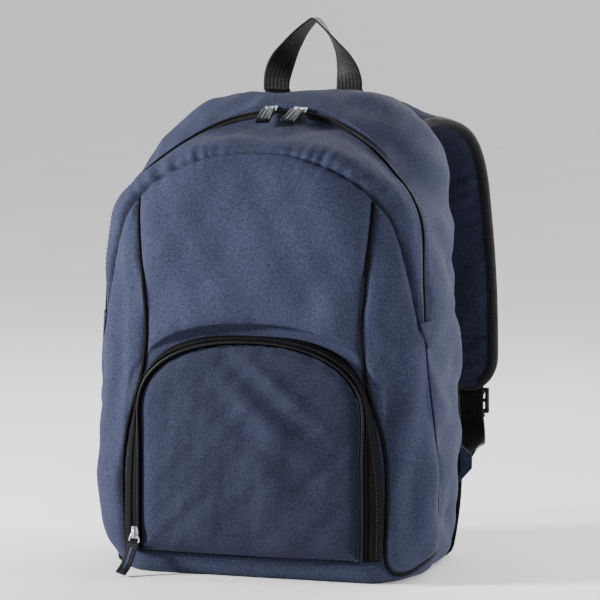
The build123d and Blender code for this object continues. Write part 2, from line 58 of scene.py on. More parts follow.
# ---------------------------------------------------------------- sizes, in millimetres
BAG, LID, FLAP = "bag", "lid", "pocket_flap"
FRONT_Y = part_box("front_upper_panel")[0][1] / MM    # front face of the bag
REAR_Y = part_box("back_panel")[1][1] / MM            # back panel's outer face
BULGE_Z = 90.0
BAG_MIDDLE = np.array([0, 20.0, 200.0])
# y, foot, bulge and shoulder half-widths, height where the crown starts, top height, crown roundness
SECTIONS = [
    (FRONT_Y, 108.0, 118.0, 101.0, 270.0, 372.0, 2.3),
    (-66.0, 122.0, 138.0, 124.0, 275.0, 381.5, 2.3),
    (-55.0, 130.0, 150.0, 139.0, 278.0, 384.0, 2.25),
    (-38.0, 135.0, 156.0, 148.0, 280.0, 387.0, 2.2),
    (2.0, 138.0, 156.0, 149.5, 281.0, 404.0, 2.2),
    (28.0, 138.0, 155.0, 146.0, 287.0, 417.0, 2.4),
    (50.0, 138.0, 152.0, 141.0, 295.0, 424.0, 2.7),
    (73.0, 136.0, 147.0, 133.0, 304.0, 424.0, 2.95),
    (REAR_Y, 132.0, 141.0, 124.0, 312.0, 420.0, 3.2),
]
# zip legs and side seam seen from the side (y, z); above the last point the zip is a straight slope
SEAM_LINE = [(20, -10), (2, 18), (-20, 48), (-33, 95), (-39, 150), (-45, 212), (-45, 250),
             (-43.5, 285), (-37.5, 316), (-27, 356.5)]
ZIP_SLOPE = math.tan(math.radians(34.7))
ZIP_END_Z = 214.0
ARCH_SEAM = [(0, -73, 380), (49, -73, 371), (88, -73, 354), (109, -67, 336), (120, -60, 318),
             (130, -58, 290), (137, -54, 256), (143, -50, 222)]
PIPING = [(110, -70, 335), (102, -76, 260), (99, -76, 216), (103, -76, 181), (118, -74, 130),
          (123, -74, 82), (121.5, -74, 30), (124, -72, 12), (131, -66, 5), (139, -52, 5), (145, -36, 9),
          (148, -18, 14), (150, 0, 19)]
POCKET_HALF, POCKET_SPRING, POCKET_TOP, POCKET_ROUND = 101.0, 148.0, 208.0, 2.25
POCKET_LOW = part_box("pocket_panel")[0][2] / MM
SURROUND = [(118.5, 22), (119, 85), (114.5, 125), (109.5, 150), (102.5, 172), (88, 194), (62, 208.5),
            (0, 215)]
# height, place down the diagonal, width, middle and half-length of each slanting fold in the pocket
POCKET_FOLDS = [(3.8, 6, 7, 0, 52), (-3.2, -9, 8, 8, 60), (2.8, -26, 9, 4, 40), (-1.6, -44, 12, 0, 60)]
# centre, width direction and half-width of the right strap, from its sewn end to its tip
STRAP_PATH = [
    ((80.0, 94.0, 402.0), (0.94, 0.0, -0.33), 31.0),
    ((88.0, 117.0, 404.0), (0.94, 0.05, -0.34), 31.5),
    ((104.0, 146.0, 389.0), (0.93, 0.05, -0.36), 31.0),
    ((116.0, 162.0, 358.0), (0.98, 0.05, -0.2), 29.5),
    ((123.0, 166.0, 318.0), (1.0, 0.0, -0.08), 28.0),
    ((127.0, 167.0, 272.0), (1.0, 0.0, -0.06), 28.0),
    ((130.0, 166.0, 222.0), (1.0, 0.0, -0.03), 28.0),
    ((131.0, 165.0, 180.0), (1.0, 0.0, 0.0), 28.0),
    ((131.0, 165.0, 143.0), (1.0, 0.0, 0.0), 28.0),
]
WEBBING = 25.0
POCKET_FACE = -86.5         # plane in which the pocket's edge lies
TIP_LENGTH = 34.0           # rounded end of a strap
FOOT_X = 35.0               # each handle foot from the middle


# ---------------------------------------------------------------- mathematics
def cubic(knots, values, at):
    """Natural cubic spline through values, along their first axis."""
    knots = np.asarray(knots, float)
    values = np.asarray(values, float)
    flat = values.reshape(len(knots), -1)
    step = np.diff(knots)
    matrix = np.eye(len(knots))
    right = np.zeros_like(flat)
    for i in range(1, len(knots) - 1):
        matrix[i, i - 1:i + 2] = step[i - 1], 2 * (step[i - 1] + step[i]), step[i]
        right[i] = 6 * ((flat[i + 1] - flat[i]) / step[i] - (flat[i] - flat[i - 1]) / step[i - 1])
    bend = np.linalg.solve(matrix, right)
    at = np.asarray(at, float)
    j = np.clip(np.searchsorted(knots, at) - 1, 0, len(knots) - 2)
    t, u, h = (at - knots[j])[:, None], (knots[j + 1] - at)[:, None], step[j][:, None]
    found = (bend[j] * u ** 3 + bend[j + 1] * t ** 3) / (6 * h)
    found += (flat[j] / h - bend[j] * h / 6) * u + (flat[j + 1] / h - bend[j + 1] * h / 6) * t
    return found.reshape((len(at),) + values.shape[1:])


def lengths(points):
    """Distance along a line of points up to each of them."""
    return np.concatenate([[0.0], np.cumsum(np.linalg.norm(np.diff(points, axis=0), axis=1))])


def smooth_line(points, spacing):
    """Points evenly spaced along a smooth curve through the given ones."""
    points = np.asarray(points, float)
    reach = lengths(points)
    dense = cubic(reach, points, np.linspace(0.0, reach[-1], 40 * len(points)))
    along = lengths(dense)
    count = max(int(round(along[-1] / spacing)), 3)
    return read_off(np.linspace(0, along[-1], count + 1), along, dense)


def read_off(at, along, values):
    """Values known at distances along a line, read off at other distances."""
    return np.stack([np.interp(at, along, values[:, k]) for k in range(values.shape[1])], axis=-1)


def evened(path, times):
    """Path with its small kinks averaged away and its ends kept."""
    for _ in range(times):
        path[1:-1] = 0.25 * path[:-2] + 0.5 * path[1:-1] + 0.25 * path[2:]
    return path


def upright(flat, depth):
    """Points (x, z) stood up at a depth."""
    return np.stack([flat[:, 0], np.broadcast_to(depth, len(flat)), flat[:, 1]], axis=1)


def unit(vectors):
    """Vectors made one long."""
    return vectors / np.maximum(np.linalg.norm(vectors, axis=-1, keepdims=True), 1e-9)


def waves(points, size, seed, count=14):
    """Smooth random field, about -1 to 1, whose features are about size across."""
    chance = np.random.default_rng(seed)
    total = np.zeros(points.shape[:-1])
    for _ in range(count):
        direction = chance.normal(size=points.shape[-1])
        direction /= np.linalg.norm(direction)
        pace = 2 * math.pi / (size * chance.uniform(0.75, 1.6))
        total += np.cos(points @ direction * pace + chance.uniform(0, 2 * math.pi))
    return total / math.sqrt(count / 2) * 0.6


def bell(distance, width):
    """1 at no distance, falling away over the width."""
    return np.exp(-(distance / width) ** 2)


def ease(value, low, high):
    """Smooth step from 0 at low to 1 at high."""
    t = np.clip((value - low) / (high - low), 0, 1)
    return t * t * (3 - 2 * t)


def mirrored(points):
    """Points of the right half carried to the left."""
    return np.asarray(points, float) * np.array([-1.0, 1.0, 1.0])


def near(points, target):
    """Distance from each point to the nearest of the target points, and which one it is."""
    tree = KDTree(len(target))
    for i, p in enumerate(target):
        tree.insert(p, i)
    tree.balance()
    found = [tree.find(p) for p in points.reshape(-1, 3)]
    distance = np.array([f[2] for f in found]).reshape(points.shape[:-1])
    index = np.array([f[1] for f in found]).reshape(points.shape[:-1])
    return distance, index


# ---------------------------------------------------------------- mesh helpers
def grid_faces(rows, columns, closed=False, base=0, flip=False):
    """Quads of a grid of points, row by row."""
    faces = []
    for r in range(rows - 1):
        for c in range(columns if closed else columns - 1):
            d = (c + 1) % columns
            quad = (r * columns + c, r * columns + d, (r + 1) * columns + d, (r + 1) * columns + c)
            faces.append(tuple(base + i for i in (quad[::-1] if flip else quad)))
    return faces


def tube_faces(rows, columns):
    """Faces of a tube of rings, its two ends shut."""
    ends = [tuple(range(columns)), tuple(range((rows - 1) * columns, rows * columns))]
    return grid_faces(rows, columns, closed=True) + ends


def disc(grid):
    """Vertices and faces of rings one inside the next, the smallest one filled."""
    rows, columns = grid.shape[:2]
    faces = grid_faces(rows, columns, closed=True)
    faces += [(c, (c + 1) % columns, rows * columns) for c in range(columns)]
    return np.vstack([grid.reshape(-1, 3), grid[0].mean(axis=0)]), faces


def outward_normals(grid):
    """Unit normals of a grid of rings round the bag, by central differences."""
    around = np.roll(grid, -1, axis=1) - np.roll(grid, 1, axis=1)
    normals = unit(np.cross(around, np.gradient(grid, axis=0)))
    return normals * np.sign((normals * (grid - BAG_MIDDLE)).sum(-1).mean())


def linked(name, data):
    """Object made from its data and put in the scene."""
    obj = bpy.data.objects.new(name, data)
    bpy.context.scene.collection.objects.link(obj)
    return obj


def piece(name, vertices, faces, material, body, slot, replaces=()):
    """Mesh object, given in millimetres, riding on a body (None for one left on no body)."""
    mesh = bpy.data.meshes.new(name)
    mesh.from_pydata((np.asarray(vertices, float) * MM).tolist(), [], faces)
    mesh.validate()
    obj = linked(name, mesh)
    mesh.materials.append(material)
    work = bmesh.new()
    work.from_mesh(mesh)
    bmesh.ops.remove_doubles(work, verts=work.verts, dist=1e-6)
    bmesh.ops.recalc_face_normals(work, faces=work.faces)
    work.to_mesh(mesh)
    work.free()
    mesh.polygons.foreach_set("use_smooth", [True] * len(mesh.polygons))
    if replaces:
        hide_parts(*replaces)
    if body:
        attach(obj, body)
    return obj


def thicken(obj, thick, offset=-1.0, bevel=0.0):
    """Gives a sheet its thickness, and rounded edges if wanted, as plain mesh."""
    solid = obj.modifiers.new("Solidify", "SOLIDIFY")
    solid.thickness, solid.offset = thick * MM, offset
    if bevel:
        edge = obj.modifiers.new("Bevel", "BEVEL")
        edge.width, edge.segments = bevel * MM, 3
    bpy.context.view_layer.update()
    evaluated = obj.evaluated_get(bpy.context.evaluated_depsgraph_get())
    mesh = bpy.data.meshes.new_from_object(evaluated)
    obj.modifiers.clear()
    obj.data = mesh


def bend_with_lid(obj):
    """Bakes a piece's placement into its mesh, without blending it to the lid."""
    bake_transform(obj)


def sweep(path, section, guide, closed=False):
    """Vertices and faces of a section swept along a path.

    The section is (side, up) offsets, one for all points or one per point; up leans towards guide.
    """
    path, section = np.asarray(path, float), np.asarray(section, float)
    ahead = np.roll(path, -1, axis=0) - np.roll(path, 1, axis=0) if closed else np.gradient(path, axis=0)
    ahead = unit(ahead)
    side = unit(np.cross(ahead, np.broadcast_to(np.asarray(guide, float), path.shape)))
    up = unit(np.cross(side, ahead))
    if section.ndim == 2:
        section = np.broadcast_to(section, (len(path),) + section.shape)
    rings = path[:, None] + side[:, None] * section[..., :1] + up[:, None] * section[..., 1:]
    size = section.shape[1]
    if not closed:
        return rings.reshape(-1, 3), tube_faces(len(path), size)
    last = (len(path) - 1) * size
    faces = grid_faces(len(path), size, closed=True)
    faces += [(last + c, last + (c + 1) % size, (c + 1) % size, c) for c in range(size)]
    return rings.reshape(-1, 3), faces


def round_section(radius, sides=10, flat=1.0):
    """Section of a cord, or of a flattened one."""
    turn = np.linspace(0, 2 * math.pi, sides, endpoint=False)
    return np.stack([radius * np.cos(turn), radius * flat * np.sin(turn)], axis=1)


def strap_section(width, thick, ribs=0, rib_height=0.0):
    """Flat webbing's section with rounded selvedges and optional lengthwise ribs."""
    count = max(24, ribs * 6)
    x = np.linspace(-1, 1, count)
    half = thick / 2 * np.sqrt(np.clip(1 - np.abs(x) ** 14, 0, 1))
    wave = rib_height * np.cos(x * math.pi * ribs) if ribs else 0 * x
    top = np.stack([x * width / 2, half + wave * (np.abs(x) < 0.93)], axis=1)
    low = np.stack([x[::-1] * width / 2, -half - wave[::-1] * (np.abs(x[::-1]) < 0.93)], axis=1)
    return np.vstack([top, low[1:-1]])


def join(parts):
    """One vertex list and face list from several."""
    vertices, faces, base = [], [], 0
    for v, f in parts:
        vertices.append(np.asarray(v, float))
        faces += [tuple(i + base for i in face) for face in f]
        base += len(v)
    return np.vstack(vertices), faces


def stitches(path, normals, long=3.0, gap=1.3, radius=0.32, lift=0.1):
    """Row of thread stitches lying on a surface along a path."""
    path = np.asarray(path, float)
    normals = np.asarray(normals, float)
    if normals.ndim == 1:
        normals = np.broadcast_to(normals, path.shape)
    along = lengths(path)
    count = int(along[-1] / (long + gap))
    parts = []
    for i in range(count):
        at = (i + 0.5) * (long + gap) + np.linspace(-long / 2, long / 2, 5)
        out = unit(read_off(at, along, normals))
        arc = np.array([-0.5, 0.6, 1.0, 0.6, -0.5])[:, None] * radius
        line = read_off(at, along, path) + out * (lift + arc)
        size = np.array([0.45, 0.9, 1.0, 0.9, 0.45])[:, None, None] * round_section(radius, 6)[None]
        parts.append(sweep(line, size, out[2]))
    return join(parts)


def crossed_box(half, low, high, count):
    """Stitching path (across, along) of a box with a cross in it."""
    box = [(-half, low), (half, low), (half, high), (-half, high), (-half, low), (half, high), (half, low),
           (-half, high)]
    return np.vstack([np.linspace(box[i], box[i + 1], count) for i in range(len(box) - 1) if i != 5])


# ---------------------------------------------------------------- materials
class Nodes:
    """Short way to write a node material."""

    def __init__(self, name):
        self.material = bpy.data.materials.new(name)
        self.material.use_nodes = True
        self.tree = self.material.node_tree
        self.shader = self.tree.nodes["Principled BSDF"]
        self.place = self.add("ShaderNodeTexCoord").outputs["Object"]

    def add(self, kind, inputs=(), **settings):
        node = self.tree.nodes.new(kind)
        for key, value in settings.items():
            setattr(node, key, value)
        return self.feed(node, dict(inputs))

    def feed(self, node, inputs):
        """Links the inputs that are sockets and sets the others."""
        for key, value in inputs.items():
            if isinstance(value, bpy.types.NodeSocket):
                self.tree.links.new(value, node.inputs[key])
            else:
                node.inputs[key].default_value = value
        return node

    def maths(self, operation, first, second=0.0):
        return self.add("ShaderNodeMath", {0: first, 1: second}, operation=operation).outputs[0]

    def noise(self, scale, detail=3.0, rough=0.55):
        inputs = {"Vector": self.place, "Scale": scale, "Detail": detail, "Roughness": rough}
        return self.add("ShaderNodeTexNoise", inputs).outputs["Fac"]

    def streaks(self, size, stretch):
        """Uneven yarns: noise of a size in metres, drawn out along the axes whose stretch is small."""
        place = self.add("ShaderNodeMapping", {"Vector": self.place, "Scale": stretch}).outputs[0]
        inputs = {"Vector": place, "Scale": 1 / size, "Detail": 1.0, "Roughness": 0.5}
        return self.add("ShaderNodeTexNoise", inputs).outputs["Fac"]

    def ramp(self, value, low, high, start=0.3, end=0.7):
        node = self.add("ShaderNodeValToRGB", {"Fac": value})
        node.color_ramp.elements[0].position, node.color_ramp.elements[0].color = start, (*low, 1)
        node.color_ramp.elements[1].position, node.color_ramp.elements[1].color = end, (*high, 1)
        return node.outputs["Color"]

    def mix(self, first, second, share):
        inputs = {"Factor": share, 6: first, 7: (*second, 1)}
        return self.add("ShaderNodeMix", inputs, data_type="RGBA").outputs[2]

    def bump(self, height, distance, strength=1.0, under=None):
        inputs = {"Height": height, "Distance": distance, "Strength": strength}
        if under:
            inputs["Normal"] = under
        return self.add("ShaderNodeBump", inputs).outputs["Normal"]

    def finish(self, colour, rough, normal=None, **constants):
        inputs = {"Base Color": colour, "Roughness": rough}
        inputs.update({key.replace("_", " "): value for key, value in constants.items()})
        if normal:
            inputs["Normal"] = normal
        self.feed(self.shader, inputs)
        return self.material


def woven(name, deep, light, pitch, rough, sheen, worn=0.25):
    """Plain-woven cloth: crossing yarns, mottled dye and a little wear."""
    n = Nodes(name)
    upright, level = n.streaks(pitch, (1.0, 1.0, 0.3)), n.streaks(pitch, (0.3, 0.3, 1.0))
    weave = n.maths("MULTIPLY", n.maths("ADD", upright, level), 0.5)
    slub = n.noise(1500.0, 2.0)
    mottle = n.noise(14.0, 5.0, 0.6)
    cloth = n.maths("ADD", n.maths("MULTIPLY", weave, 0.65), n.maths("MULTIPLY", slub, 0.35))
    colour = n.ramp(cloth, deep, light, 0.38, 0.62)
    worn_colour = n.mix(colour, tuple(min(1.0, c * 1.35 + 0.01) for c in light),
                        n.maths("MULTIPLY", n.maths("POWER", mottle, 2.0), worn))
    low = n.bump(n.noise(110.0, 2.0), 0.0008, 0.2)
    normal = n.bump(n.maths("ADD", weave, n.maths("MULTIPLY", slub, 0.5)), 0.0005, 1.0, low)
    roughness = n.maths("ADD", n.maths("MULTIPLY", slub, 0.16), rough - 0.08)
    return n.finish(worn_colour, roughness, normal, Sheen_Weight=sheen, Sheen_Roughness=0.45,
                    Specular_IOR_Level=0.05)


def ribbed(name, deep, light, pitch, rough):
    """Webbing or binding: crosswise ribs over lengthwise yarns."""
    n = Nodes(name)
    ribs = n.streaks(pitch, (0.15, 1.0, 1.0))
    yarn = n.streaks(pitch * 0.6, (1.0, 1.0, 0.2))
    fuzz = n.noise(1300.0, 2.0)
    height = n.maths("ADD", ribs, n.maths("MULTIPLY", n.maths("ADD", yarn, fuzz), 0.4))
    colour = n.ramp(n.maths("MULTIPLY", height, 0.6), deep, light, 0.2, 0.8)
    normal = n.bump(height, 0.0004, 0.9, n.bump(n.noise(60.0), 0.001, 0.3))
    roughness = n.maths("ADD", n.maths("MULTIPLY", n.noise(200.0), 0.2), rough - 0.1)
    return n.finish(colour, roughness, normal, Sheen_Weight=0.02, Sheen_Roughness=0.5,
                    Specular_IOR_Level=0.16)


def hard(name, deep, light, rough, metallic=0.0, coat=0.0, grain=420.0, depth=0.00012):
    """Moulded or plated part: fine grain, uneven gloss and small scuffs."""
    n = Nodes(name)
    mottle = n.noise(60.0, 4.0)
    scuffs = n.noise(2200.0, 2.0, 0.7)
    colour = n.ramp(mottle, deep, light)
    roughness = n.maths("ADD", n.maths("MULTIPLY", n.maths("POWER", scuffs, 2.0), 0.35), rough - 0.06)
    normal = n.bump(n.noise(grain, 3.0), depth, 0.6)
    return n.finish(colour, roughness, normal, Metallic=metallic, Coat_Weight=coat, Coat_Roughness=0.15,
                    Specular_IOR_Level=0.5 if metallic else 0.14)


BLUE = woven("BodyFabric", (0.0085, 0.0102, 0.0205), (0.039, 0.0455, 0.084), 0.0006, 0.74, 0.02)
# Pocket cloth is the body blue darkened: painted shade for the pocket's face, which turns away from the key
# light.
POCKET_BLUE_PAINTED_SHADE = woven("PocketFabricPaintedShade", (0.0058, 0.0069, 0.0142), (0.0255, 0.0298, 0.0565), 0.0006, 0.74, 0.02)
# Strap cloth is the body blue darkened: painted shade for the straps, which hang in shadow.
STRAP_BLUE_PAINTED_SHADE = woven("StrapFabricPaintedShade", (0.007, 0.0085, 0.017), (0.032, 0.037, 0.070), 0.0006, 0.8, 0.02)
BLACK_CLOTH = woven("BlackFabric", (0.0015, 0.0015, 0.0018), (0.006, 0.006, 0.007), 0.0009, 0.7, 0.0, 0.1)
PIPING_CLOTH = woven("PipingFabric", (0.0012, 0.0012, 0.0015), (0.005, 0.005, 0.006), 0.0007, 0.6, 0.0, 0.1)
WEBBING_CLOTH = ribbed("BlackWebbing", (0.001, 0.001, 0.0012), (0.0066, 0.0066, 0.0072), 0.0021, 0.6)
BINDING_CLOTH = ribbed("Grosgrain", (0.0012, 0.0012, 0.0015), (0.007, 0.007, 0.008), 0.0012, 0.62)
TAPE_CLOTH = ribbed("ZipTape", (0.0012, 0.0012, 0.0015), (0.006, 0.006, 0.007), 0.0014, 0.65)
THREAD_BLUE = ribbed("ThreadNavy", (0.028, 0.034, 0.066), (0.085, 0.098, 0.17), 0.0005, 0.55)
# Near-black navy for cords laid in the seams: painted shadow in the seam grooves.
SEAM_SHADOW_CLOTH = ribbed("SeamShadowNavy", (0.003, 0.0036, 0.008), (0.014, 0.017, 0.033), 0.0006, 0.7)
THREAD_BLACK = ribbed("ThreadBlack", (0.004, 0.004, 0.005), (0.03, 0.03, 0.033), 0.0005, 0.5)
COIL = hard("CoilNylon", (0.002, 0.002, 0.0025), (0.007, 0.007, 0.008), 0.42)
PULLER = hard("PullerGloss", (0.0015, 0.0015, 0.002), (0.005, 0.005, 0.006), 0.3, 0.0, 0.03, 300.0, 0.00005)
PLASTIC = hard("BuckleAcetal", (0.006, 0.006, 0.007), (0.018, 0.018, 0.02), 0.42)
METAL = hard("Nickel", (0.42, 0.42, 0.45), (0.62, 0.62, 0.64), 0.26, 1.0, 0.0, 300.0, 0.00006)
BLUE_LINE = hard("PullerLine", (0.06, 0.075, 0.16), (0.10, 0.125, 0.24), 0.4)


# ---------------------------------------------------------------- the bag's surface
RING_ARCH, RING_BASE = 520, 90
CAP_ROWS, SIDE_ROWS, REAR_ROWS = 140, 78, 90
CAP_CENTRE = np.array([0.0, FRONT_Y, 185.0])


def both(points):
    """A right-hand outline ending on the centre line, carried round to the left."""
    points = np.asarray(points, float)
    other = points[:-1][::-1].copy()
    other[:, 0] *= -1
    return np.vstack([points, other])


def crown(half, spring, top, roundness, steps):
    """Rounded top of an arch, from just above the spring line to the middle."""
    turn = np.radians(90.0 * np.arange(1, steps + 1) / steps)
    x = half * np.clip(np.cos(turn), 0, 1) ** (2 / roundness)
    z = spring + (top - spring) * np.sin(turn) ** (2 / roundness)
    x[-1] = 0.0
    return np.stack([x, z], axis=1)


def arch_outline(foot, bulge, shoulder, spring, top, roundness):
    """Outline of the bag at one depth, from the right foot over the crown to the left foot."""
    side = [(foot, 0), (0.3 * foot + 0.7 * bulge, 0.42 * BULGE_Z), (bulge, BULGE_Z),
            (0.5 * (bulge + shoulder), 0.5 * (BULGE_Z + spring)), (shoulder, spring)]
    return both(np.vstack([side, crown(shoulder, spring, top, roundness, 6)]))


def depth_table():
    """Ring outlines at every depth: depths, and (x, z) for each depth and ring point."""
    middle = arch_outline(*SECTIONS[len(SECTIONS) // 2][1:])
    shares = lengths(middle) / lengths(middle)[-1]
    at = np.linspace(0, 1, RING_ARCH)
    rings = []
    for section in SECTIONS:
        arch = cubic(shares, arch_outline(*section[1:]), at)
        base_x = np.linspace(arch[-1, 0], arch[0, 0], RING_BASE + 2)[1:-1]
        rings.append(np.vstack([arch, np.stack([base_x, 0 * base_x], axis=1)]))
    depths = np.linspace(FRONT_Y, REAR_Y, 343)
    return depths, cubic([s[0] for s in SECTIONS], np.array(rings), depths)


DEPTHS, RINGS = depth_table()


def seam_depth(z):
    """Depth of the zip and side seam at height z."""
    line = np.array(SEAM_LINE, float)
    low = cubic(line[:, 1], line[:, 0], np.clip(z, line[0, 1], line[-1, 1]))
    return np.where(z > line[-1, 1], line[-1, 0] + (z - line[-1, 1]) * ZIP_SLOPE, low)


def seam_rows():
    """Depth of the seam for each ring point."""
    heights = RINGS[:, :, 1]
    ahead = DEPTHS[:, None] - seam_depth(heights.reshape(-1)).reshape(heights.shape)
    first = np.argmax(ahead > 0, axis=0)
    low, high = ahead[first - 1, np.arange(ahead.shape[1])], ahead[first, np.arange(ahead.shape[1])]
    found = DEPTHS[first - 1] + (DEPTHS[first] - DEPTHS[first - 1]) * (-low) / (high - low)
    found[RING_ARCH:] = found[RING_ARCH - 1]
    return found


SEAM_Y = seam_rows()


def on_surface(depth):
    """Points of the plain body surface at a depth for each ring point."""
    at = np.clip((depth - DEPTHS[0]) / (DEPTHS[1] - DEPTHS[0]), 0, len(DEPTHS) - 1.001)
    low = at.astype(int)
    share = (at - low)[..., None]
    index = np.broadcast_to(np.arange(RINGS.shape[1]), depth.shape)
    flat = RINGS[low, index] * (1 - share) + RINGS[low + 1, index] * share
    return np.stack([flat[..., 0], depth, flat[..., 1]], axis=-1)


def relax(grid, weight, steps, axis):
    """Rounds a crease where weight is above 0: along columns (axis 0, ends kept) or round rings (axis 1)."""
    for _ in range(steps):
        mean = 0.25 * np.roll(grid, 1, axis) + 0.5 * grid + 0.25 * np.roll(grid, -1, axis)
        if axis == 0:
            mean[[0, -1]] = grid[[0, -1]]
        grid = grid * (1 - weight) + mean * weight
    return grid


def round_foot(grid):
    """Rounds the turn from wall to base in a grid of rings."""
    index = np.arange(RING_ARCH + RING_BASE)
    size = len(index)
    away = np.minimum(np.minimum(index, size - index), np.abs(index - RING_ARCH + 0.5))
    weight = ease(-away.astype(float), -9, -3)[None, :, None]
    return relax(grid, weight, 26, 1)


def zip_gap(height):
    """Half of the gap between the hems of the zip, which opens a little down the legs."""
    return (1.3 + 1.7 * ease(-height, -340, -275)) * ease(height, ZIP_END_Z - 3, ZIP_END_Z + 6)


def front_grid():
    """Grid of the bag ahead of the zip and side seams, from the front's centre outward."""
    scale = np.linspace(0.012, 1, CAP_ROWS)[:, None, None]
    rim = on_surface(np.full(RINGS.shape[1], FRONT_Y))
    cap = CAP_CENTRE + (rim - CAP_CENTRE)[None] * scale
    height = on_surface(SEAM_Y)[:, 2]
    end = SEAM_Y - zip_gap(height)
    share = np.linspace(0, 1, SIDE_ROWS + 1)[1:, None]
    sides = on_surface(FRONT_Y + (end - FRONT_Y)[None] * share)
    grid = np.concatenate([cap, sides])
    rows = np.arange(len(grid))
    crease = ease(-np.abs(rows - CAP_ROWS).astype(float), -32, -12)[:, None, None]
    return round_foot(relax(grid, crease, 125, 0))


def rear_grid():
    """Grid of the gusset, from the zip and side seams back to the rear seam."""
    height = on_surface(SEAM_Y)[:, 2]
    start = SEAM_Y + zip_gap(height)
    share = np.linspace(0, 1, REAR_ROWS)[:, None]
    return round_foot(on_surface(start[None] + (REAR_Y - start)[None] * share))


def snap(path, cloud):
    """Path moved onto the nearest points of a surface, then evened out."""
    _, index = near(path, cloud)
    return evened(cloud[index], 14)


FRONT = front_grid()
REAR = rear_grid()
FRONT_CLOUD = FRONT.reshape(-1, 3)
PIPING_RIGHT = snap(smooth_line(PIPING, 2.0), FRONT_CLOUD)
PIPING_LEFT = snap(smooth_line(mirrored(PIPING), 2.0), FRONT_CLOUD)
ARCH_LINE = snap(smooth_line(both(ARCH_SEAM[::-1]), 2.0), FRONT_CLOUD)
SEAM_RING = on_surface(SEAM_Y)[:RING_ARCH]
ZIP_LINE = SEAM_RING[SEAM_RING[:, 2] > ZIP_END_Z]


def zip_path():
    """Even points along the main zip, with the outward and rearward directions of the surface there."""
    ahead = unit(on_surface(SEAM_Y + 2.0) - on_surface(SEAM_Y - 2.0))[:RING_ARCH]
    out = unit(np.cross(ahead, unit(np.gradient(SEAM_RING, axis=0))))
    out *= np.sign((out * (SEAM_RING - np.array([0, -30.0, 180.0]))).sum(-1, keepdims=True))
    keep = SEAM_RING[:, 2] > ZIP_END_Z
    path = smooth_line(ZIP_LINE[::4], 1.0)
    _, index = near(path, ZIP_LINE)
    return path, out[keep][index], ahead[keep][index]


def in_pocket(x, z, grow):
    """1 well inside the pocket's outline, 0 outside."""
    half = POCKET_HALF + grow
    crown_share = np.clip((z - POCKET_SPRING) / (POCKET_TOP + grow - POCKET_SPRING), 0, 1)
    reach = half * np.clip(1 - crown_share ** POCKET_ROUND, 0, 1) ** (1 / POCKET_ROUND)
    inside = ease(reach - np.abs(x), -3, 3) * ease(z, POCKET_LOW - 3, POCKET_LOW)
    return inside * ease(POCKET_TOP + grow - z, -1, 3)


def shape_front(grid):
    """Front fabric: panels puff between their seams, gather at the arch seam and fold a little."""
    normals = outward_normals(grid)
    arch, arch_index = near(grid, ARCH_LINE)
    right, _ = near(grid, PIPING_RIGHT)
    left, _ = near(grid, PIPING_LEFT)
    edge, _ = near(grid, SEAM_RING)
    piping = np.minimum(right, left)
    seam = np.minimum(np.minimum(arch, piping), edge)
    x, y, z = grid[..., 0], grid[..., 1], grid[..., 2]
    pocket = in_pocket(x, z, 18.0) * ease(-y, 60, 72)
    base = ease(-z, -26, -8)
    by_zip = bell(edge, 27) * ease(z, ZIP_END_Z - 8, ZIP_END_Z + 8)
    puff = 4.6 * (1 - np.exp(-seam / 16.0)) * (1 - pocket) * (1 - 0.8 * base) * (1 - 0.9 * by_zip)
    groove = 2.3 * bell(arch, 1.7) + 1.0 * bell(piping, 3.0) + 1.0 * bell(edge, 1.6)
    strip = np.abs(z - POCKET_LOW + 1.5) + 50 * (1 - ease(-y, 60, 70)) + 50 * ease(np.abs(x), 118, 122)
    groove += 1.3 * bell(strip, 1.8)
    along = lengths(ARCH_LINE)[arch_index]
    gather_at = ease(z, 300, 352) * np.exp(-np.clip(arch - 1, 0, None) / 11.0)
    uneven = np.sin(along / 1.9 + 2.4 * np.sin(along / 15.0))
    uneven += 0.9 * np.sin(along / 3.4 + 1.8 * np.sin(along / 23.0))
    on_arch = ARCH_LINE[arch_index]
    above = 0.3 + 0.7 * ease(z - on_arch[..., 2] - 0.25 * (y - on_arch[..., 1]), -2, 3)
    gathers = 1.3 * gather_at * above * uneven * (0.55 + 0.45 * np.sin(along / 27.0 + 2.0))
    droop = 2.4 * bell(z - 345 + 0.0009 * x ** 2, 17) * ease(-y, 55, 70) * (1 - 0.6 * bell(x, 40))
    over_pocket = 2.2 * bell(z - 231 + 0.0016 * x ** 2, 9) * ease(-y, 60, 70) * ease(-np.abs(x), -96, -70)
    tucks = 0.8 * np.exp(-np.abs(z - 222 + 0.0018 * x ** 2) / 9.0) * np.sin(x / 3.7 + np.sin(x / 11.0))
    tucks *= ease(-np.abs(x), -80, -60)
    dome = np.clip(1 - (x / 112.0) ** 2, 0, 1) * ease(z, 205, 250) * ease(-z, -385, -330) * ease(-y, 50, 70)
    wing = ease(np.abs(x), 112, 122)
    creases = 3.2 * wing * np.sin((x * 0.9 + y * 0.5) / 6.0 + 0.9 * np.sin(z / 37.0)) * bell(z - 105, 62)
    creases *= x > 0
    creases += 1.9 * wing * np.sin((x - y) / 8.0 + 1.3 * np.sin(z / 43.0)) * bell(z - 190, 90)
    broad = 2.6 * waves(grid, 150, 3) + 1.9 * waves(grid, 62, 5)
    broad += 0.75 * waves(grid * np.array([1, 1, 0.45]), 24, 8)
    calm = (1 - 0.85 * pocket) * (1 - 0.75 * base) * (1 - 0.8 * bell(seam, 4))
    near_seams = 6.5 * dome + gathers + over_pocket - tucks * 0.8 - droop * 0.5
    move = puff - groove + near_seams * (1 - pocket) + (creases + broad) * calm
    shaped = grid + normals * move[..., None]
    shaped[..., 2] = np.maximum(shaped[..., 2], 0.25)
    return shaped, normals


